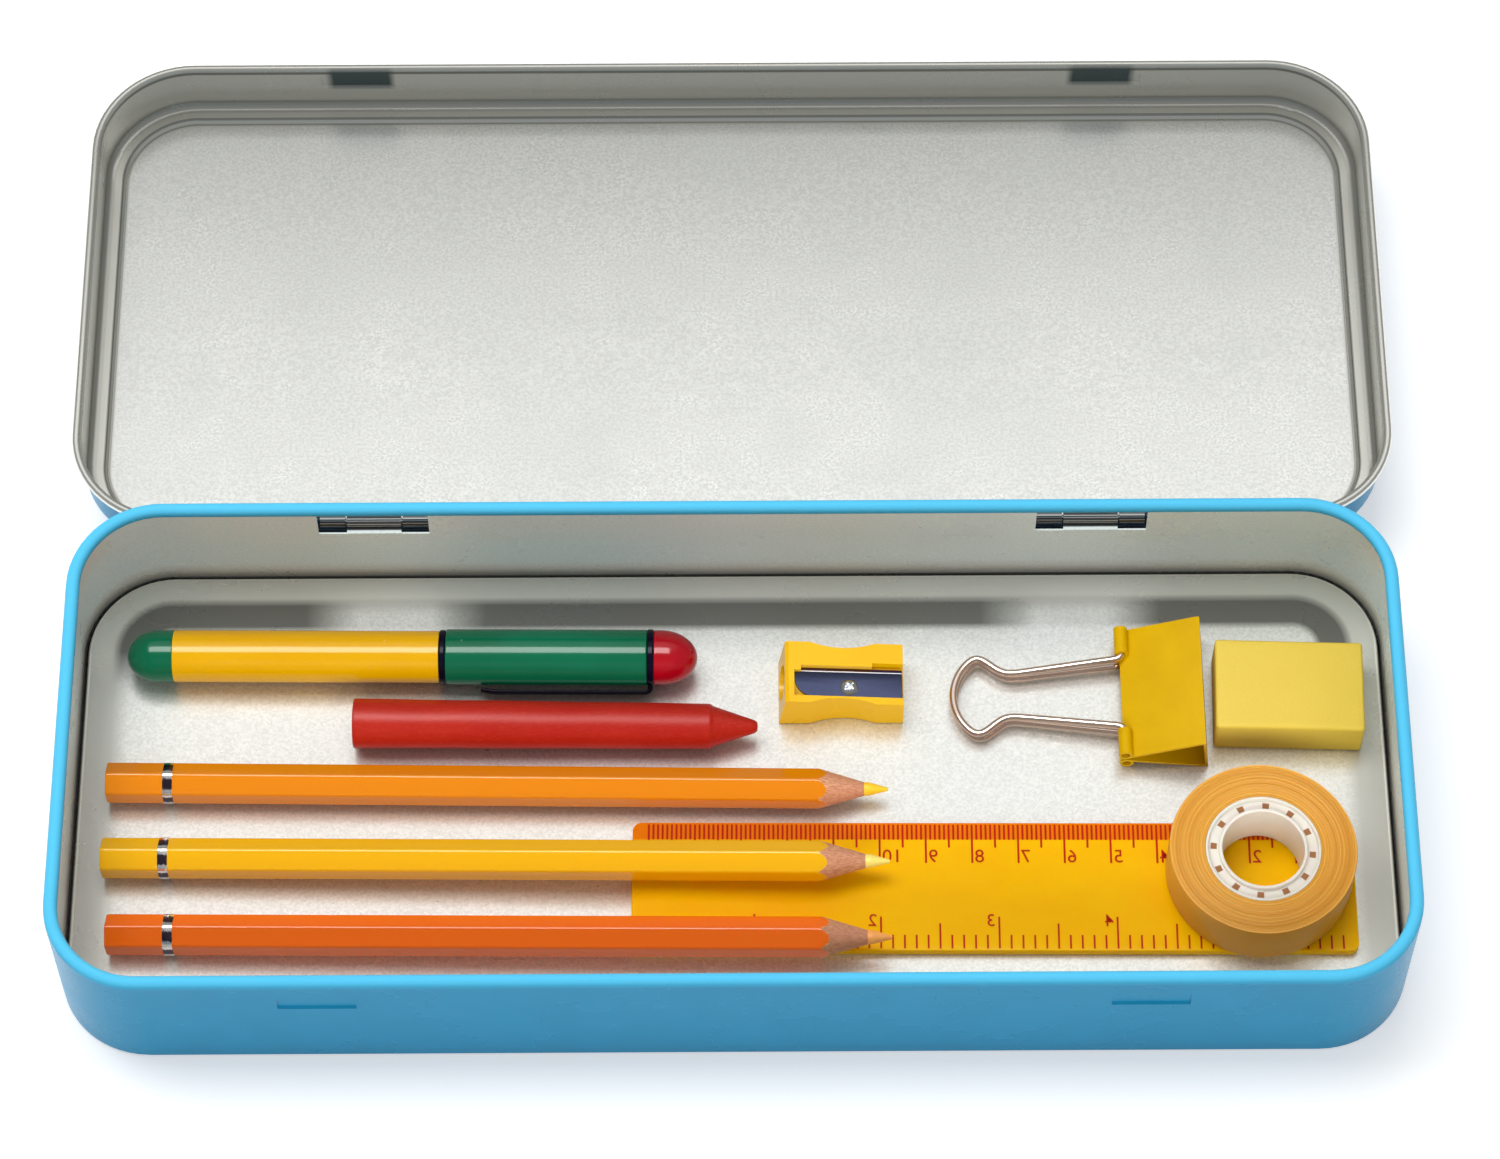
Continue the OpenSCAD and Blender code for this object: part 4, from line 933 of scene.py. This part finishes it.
def numeral(text, x, y, size, z=(2.17, 2.235)):
    """A numeral as a thin solid, mirrored left to right about its own middle."""
    letters = bpy.data.curves.new("numeral", "FONT")
    letters.body, letters.size, letters.align_x, letters.align_y = text, size, "CENTER", "CENTER"
    letters.extrude, letters.resolution_u, letters.offset = (z[1] - z[0]) / 2, 3, 0.01
    stand_in = bpy.data.objects.new("numeral", letters)
    mesh = bpy.data.meshes.new_from_object(stand_in)
    points = corners(mesh) * [-1, 1, 1] + [x, y, (z[0] + z[1]) / 2]
    faces = [list(f.vertices)[::-1] for f in mesh.polygons]
    bpy.data.objects.remove(stand_in)
    bpy.data.curves.remove(letters)
    bpy.data.meshes.remove(mesh)
    return points, faces, 0.0


def stroke(count, whole, half, other):
    """Each mark's length: a whole unit every tenth mark, a half unit every fifth, and the others."""
    return np.where(count % 10 == 0, whole, np.where(count % 5 == 0, half, other))


rear, front = ruler_size[1] / 2, -ruler_size[1] / 2
mm_zero, inch_zero, INCH = ruler_size[0] / 2 - 2.5, -ruler_size[0] / 2 + 2.8, 25.4
mm, tenths = np.arange(151), np.arange(60)
marks = [bars(mm_zero - mm, 0.44, rear - stroke(mm, 9.7, 6.0, 4.1), np.full(151, rear - 0.5)),
         bars(inch_zero + tenths * INCH / 10, 0.4, np.full(60, front + 0.5), front + stroke(tenths, 8.0, 6.4, 3.7))]
marks += [numeral(str(k), mm_zero - 10 * k + 0.5 + 1.1 * len(str(k)), rear - 8.2, 4.4) for k in range(1, 15)]
marks += [numeral(str(k), inch_zero + INCH * k - 1.8, front + 7.0, 4.1) for k in range(1, 6)]
points, faces, _ = joined(*marks)
make("ruler_print", "ruler", (laid(points, ruler_at, ruler_turn), faces, 0.0), ruler_ink, "ruler_yellow")

# %% [markdown]
# ## Tape
# The roll's two flat ends aren't flat: layers creep sideways by a hair, so the ends are drawn with fine steps.

# %% Tape roll
radii = np.linspace(12.42, 20.0, 120)
creep = 0.05 * np.sin(radii * 9.1) + 0.04 * np.sin(radii * 23.0 + 1.0) + 0.03 * np.sin(radii * 3.1)
end_face = np.stack([11.9 + creep * np.minimum(1, (20 - radii) * 2), radii], axis=1)
bottom = np.stack([0.1 - 0 * radii[::8], radii[::8]], axis=1)[::-1]
ring_profile = np.concatenate([[[0.15, 12.42]], end_face, [[11.7, 20.1], [0.3, 20.1]], bottom])
hub_profile = np.array([[11.85, 12.38], [12.0, 12.25], [12.0, 11.95], [11.85, 11.8], [10.95, 11.75],
                        [10.95, 9.55], [11.85, 9.5], [12.0, 9.35], [12.0, 9.0], [11.85, 8.8]])
hub_profile = np.concatenate([hub_profile, (hub_profile * [-1, 1] + [12, 0])[::-1]])
for name, profile, *looks, node, sharp in (
        ("tape_windings", ring_profile, tape_film, "tape_film", "tape_roll", 60),
        ("tape_hub", hub_profile, hub_white, "tape_core_white", "tape_core", 35)):
    upright = turned(profile, 160)[:, :, [1, 2, 0]] + np.array(tape_at)
    make(name, "tape", skin(upright, ring=True), *looks, [node], sharp=sharp)

# %% [markdown]
# ## Wire handles of the clip
# Each handle is one bent wire. Its path is a chain of straight runs and an arc, and sliding a small window of
# averages along it rounds the bends as a wire bends, more so round the loop. A circle carried along it makes the wire.

# %% Bent wire
def wire(path, radius, sides=24):
    """A circle carried along the path: the frame at each point is the path's direction, its level normal and their
    cross product, so that the wire doesn't twist."""
    ahead = unit(np.gradient(path, axis=0))
    level = unit(np.stack([-ahead[:, 1], ahead[:, 0], 0 * ahead[:, 0]], axis=1))
    lift = np.cross(ahead, level)
    a = circle(sides)[None, :, None]
    return path[:, None] + radius * (np.cos(a) * level[:, None] + np.sin(a) * lift[:, None])


def handle_path(reach=37.4, exit_at=8.4, end_at=15.1):
    """Half of the handle from its pin to the middle of its loop, mirrored for the other half."""
    loop = 11.91
    a = rad(np.linspace(180 - 58.0, 180, 40))
    arc = np.stack([loop - reach + loop * np.cos(a), loop * np.sin(a)], axis=1)
    half = np.concatenate([[[0, end_at], [0, exit_at], [-26.0, 5.1]], arc])
    whole = np.concatenate([half, half[::-1][1:] * [1, -1]])
    length = np.concatenate([[0], np.cumsum(np.linalg.norm(np.diff(whole, axis=0), axis=1))])
    even = np.linspace(0, length[-1], 420)
    path = np.stack([np.interp(even, length, whole[:, k]) for k in (0, 1)], axis=1)
    for turn in range(94):
        eased = (path[:-2] + 2 * path[1:-1] + path[2:]) / 4
        path[1:-1] = np.where((turn < 34) | (path[1:-1, :1] < -20), eased, path[1:-1])
    return np.column_stack([path, np.zeros(len(path))])


path = handle_path()
for which, pivot, droop in (("upper", (85.573, 23.9, 8.619), 2.941), ("lower", (85.995, 23.9, 5.06), 0.858)):
    leaned = np.column_stack([path[:, 0] * np.cos(rad(droop)), path[:, 1], path[:, 0] * np.sin(rad(droop))])
    make("clip_wire_" + which, f"clip_{which}_handle", skin(wire(leaned + np.array(pivot), 0.84)), wire_copper,
         "clip_wire", ["clip_handle_" + which])

# %% [markdown]
# ## Softened copies
# The sharpener, its blade and screw, and the clip's spring have the right shape in CAD, but every edge there is
# perfectly sharp. A copy is merged, its flat faces are joined, and a Bevel modifier rounds its edges
# by a few hundredths of their size, which is what catches the light on a moulded or pressed part. The blade's far
# edge is also moved out a little over the slot, as a real cutting edge stands over the opening for the shavings.

# %% Rounded edges on CAD shapes
def softened(name, node, body, width, finish, angle=38, segments=2, widen=None):
    mesh = frame["nodes"][node].data.copy()
    if widen:
        points = corners(mesh)
        points[:, 1] += np.where(points[:, 1] > widen[0] * MM, widen[1] * MM, 0)
        mesh.vertices.foreach_set("co", points.ravel())
    shape = bmesh.new()
    shape.from_mesh(mesh)
    bmesh.ops.remove_doubles(shape, verts=shape.verts, dist=2e-6)
    bmesh.ops.dissolve_limit(shape, angle_limit=rad(0.6), verts=shape.verts, edges=shape.edges)
    shape.to_mesh(mesh)
    shape.free()
    if "custom_normal" in mesh.attributes:
        mesh.attributes.remove(mesh.attributes["custom_normal"])
    mesh.name = name
    mesh.materials.clear()
    mesh.materials.append(finish)
    mesh.shade_smooth()
    mesh.set_sharp_from_angle(angle=rad(35))
    piece = put(name, mesh)
    rounded = piece.modifiers.new("rounded edges", "BEVEL")
    rounded.width, rounded.segments, rounded.limit_method = width * MM, segments, "ANGLE"
    rounded.angle_limit, rounded.harden_normals, rounded.use_clamp_overlap = rad(angle), True, True
    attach(piece, body)
    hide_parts(node)
    print(f"{name}: {len(mesh.polygons)} faces before its edges are rounded")


softened("sharpener_block", "sharpener_body", "sharpener", 0.35, sharpener_yellow, segments=3)
softened("sharpener_cutter", "sharpener_blade", "sharpener", 0.05, blade_steel, widen=(26.9, 1.3))
softened("sharpener_cross_screw", "sharpener_screw", "sharpener", 0.06, screw_steel)
softened("clip_sheet", "clip_spring", "binder_clip", 0.16, clip_ochre)

# %% [markdown]
# ## Floor
# A pale floor carries the tin. Its colour makes the background white, and its own diffuse shading keeps the shadow.

# %% Floor
def seen_directly(tree):
    """1 for rays from the camera and for mirrored or refracted rays, 0 for the rays that carry soft light, and
    with it 1 for mirrored rays alone."""
    rays = add(tree, "LightPath")
    mirrored = rays["Is Glossy Ray"].maths("MAXIMUM", rays["Is Transmission Ray"])
    return rays["Is Camera Ray"].maths("MAXIMUM", mirrored), rays["Is Glossy Ray"]


def board(name, points, finish):
    """A flat board of four corners that belongs to the stage."""
    mesh = bpy.data.meshes.new(name)
    mesh.from_pydata(points, [], [(0, 1, 2, 3)])
    mesh.materials.append(finish)
    made = put(name, mesh)
    made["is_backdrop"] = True
    return made


paper, shader, own = material("white paper")
direct, _ = seen_directly(own.tree)
feed(shader, Base_Color=(0.9, 0.9, 0.9, 1), Roughness=0.9, Specular_IOR_Level=0.1,
     Emission_Color=(1, 1, 1, 1), Emission_Strength=direct * 0.46)
board("floor", [(-3, -3, 0), (3, -3, 0), (3, 3, 0), (-3, 3, 0)], paper)

# %% [markdown]
# ## Light
# A small tent: soft light from all round, a broad soft lamp above and a little behind, and a soft box overhead that
# only gloss sees. The soft box draws the bright stripes along the pencils and pens. Light linking keeps it off the
# tin, because bare tinplate would mirror the whole box and turn white. A weak fill from the front is for the things
# inside, and a weaker one is for the base, whose back wall would otherwise be brown. The side of the room behind the
# camera is darker, as it is in a real studio, and the tin's inner walls show that in two bounces.

# %% Room
world = bpy.data.worlds.new("light tent")
bpy.context.scene.world = world
world.use_nodes = True
tree = world.node_tree
tree.nodes.clear()
direct, glossy = seen_directly(tree)
bright_way = add(tree, "TexCoord")["Generated"].vector("DOT_PRODUCT", (0, 0.45, 0.893))
room = glossy.mix(1.0, bright_way.ramp(0.72, 0.92, 0.3, 1.05), "FLOAT")
sky = add(tree, "Background", {"Color": (1, 1, 1, 1), "Strength": direct.mix(0.36, room, "FLOAT")})
add(tree, "OutputWorld", {"Surface": sky[0]})


# %% Lamps
def lamp(name, at, aim, size, power, lights=None, seen_by_gloss=False):
    """A soft rectangular lamp at a place, turned so that it shines at another. With lights it reaches only those."""
    light = bpy.data.lights.new(name, "AREA")
    light.shape, light.size, light.size_y, light.energy = "RECTANGLE", size[0], size[1], power
    holder = put(name, light)
    back = unit(np.array([at], float) - np.array([aim], float))[0]
    side = unit(np.cross([[0, 1, 0]], back))[0]
    holder.matrix_world = aimed(side, np.cross(back, side), back, at)
    holder.visible_glossy, holder.visible_diffuse = seen_by_gloss, not seen_by_gloss
    if lights is not None:
        holder.light_linking.receiver_collection = lights


def lit(name, pieces):
    """A collection of the pieces that a lamp reaches."""
    made = bpy.data.collections.new(name)
    for piece in pieces:
        made.objects.link(piece)
    return made


things = lit("things that the soft box lights",
             [o for o in bpy.data.objects if o.type == "MESH" and o.name not in ("base_shell", "lid_shell", "floor")])
base_only = lit("the base of the tin", [bpy.data.objects["base_shell"]])
lamp("broad lamp", (-0.32, 0.34, 1.28), (0, 0.05, 0), (1.2, 0.65), 13.2)
lamp("soft box for the highlights", (-0.12, 0.09, 1.2), (-0.12, 0.09, 0), (1.1, 0.5), 17.0, things, seen_by_gloss=True)
for name, power, lights in (("fill for the things inside", 14.0, things),
                            ("fill for the back wall of the base", 2.0, base_only)):
    lamp(name, (0.1, -1.1, 0.7), (0, 0, 0), (1.2, 0.5), power, lights)

# %% [markdown]
# A grey card stands behind the open lid, where only gloss sees it. The lid's far end mirrors the card and its near
# end mirrors the bright room above it, which gives satin metal its slow fade.

# %% Grey card for the metal
grey, shader, own = material("grey card")
feed(shader, Base_Color=(0, 0, 0, 1), Roughness=1.0, Specular_IOR_Level=0.0,
     Emission_Color=(0.25, 0.25, 0.24, 1), Emission_Strength=1.0)
card = board("grey_card", [(-1.6, 0.45, 0), (1.6, 0.45, 0), (1.6, 0.45, 0.5), (-1.6, 0.45, 0.5)], grey)
card.visible_camera = card.visible_diffuse = card.visible_shadow = card.visible_transmission = False

# %% View settings and bounds
scene = bpy.context.scene
scene.view_settings.view_transform = "Standard"
new_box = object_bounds()
for label, box in (("CAD box", cad_box), ("visual box", new_box)):
    print(label, [round(v / MM, 1) for corner in box for v in corner])
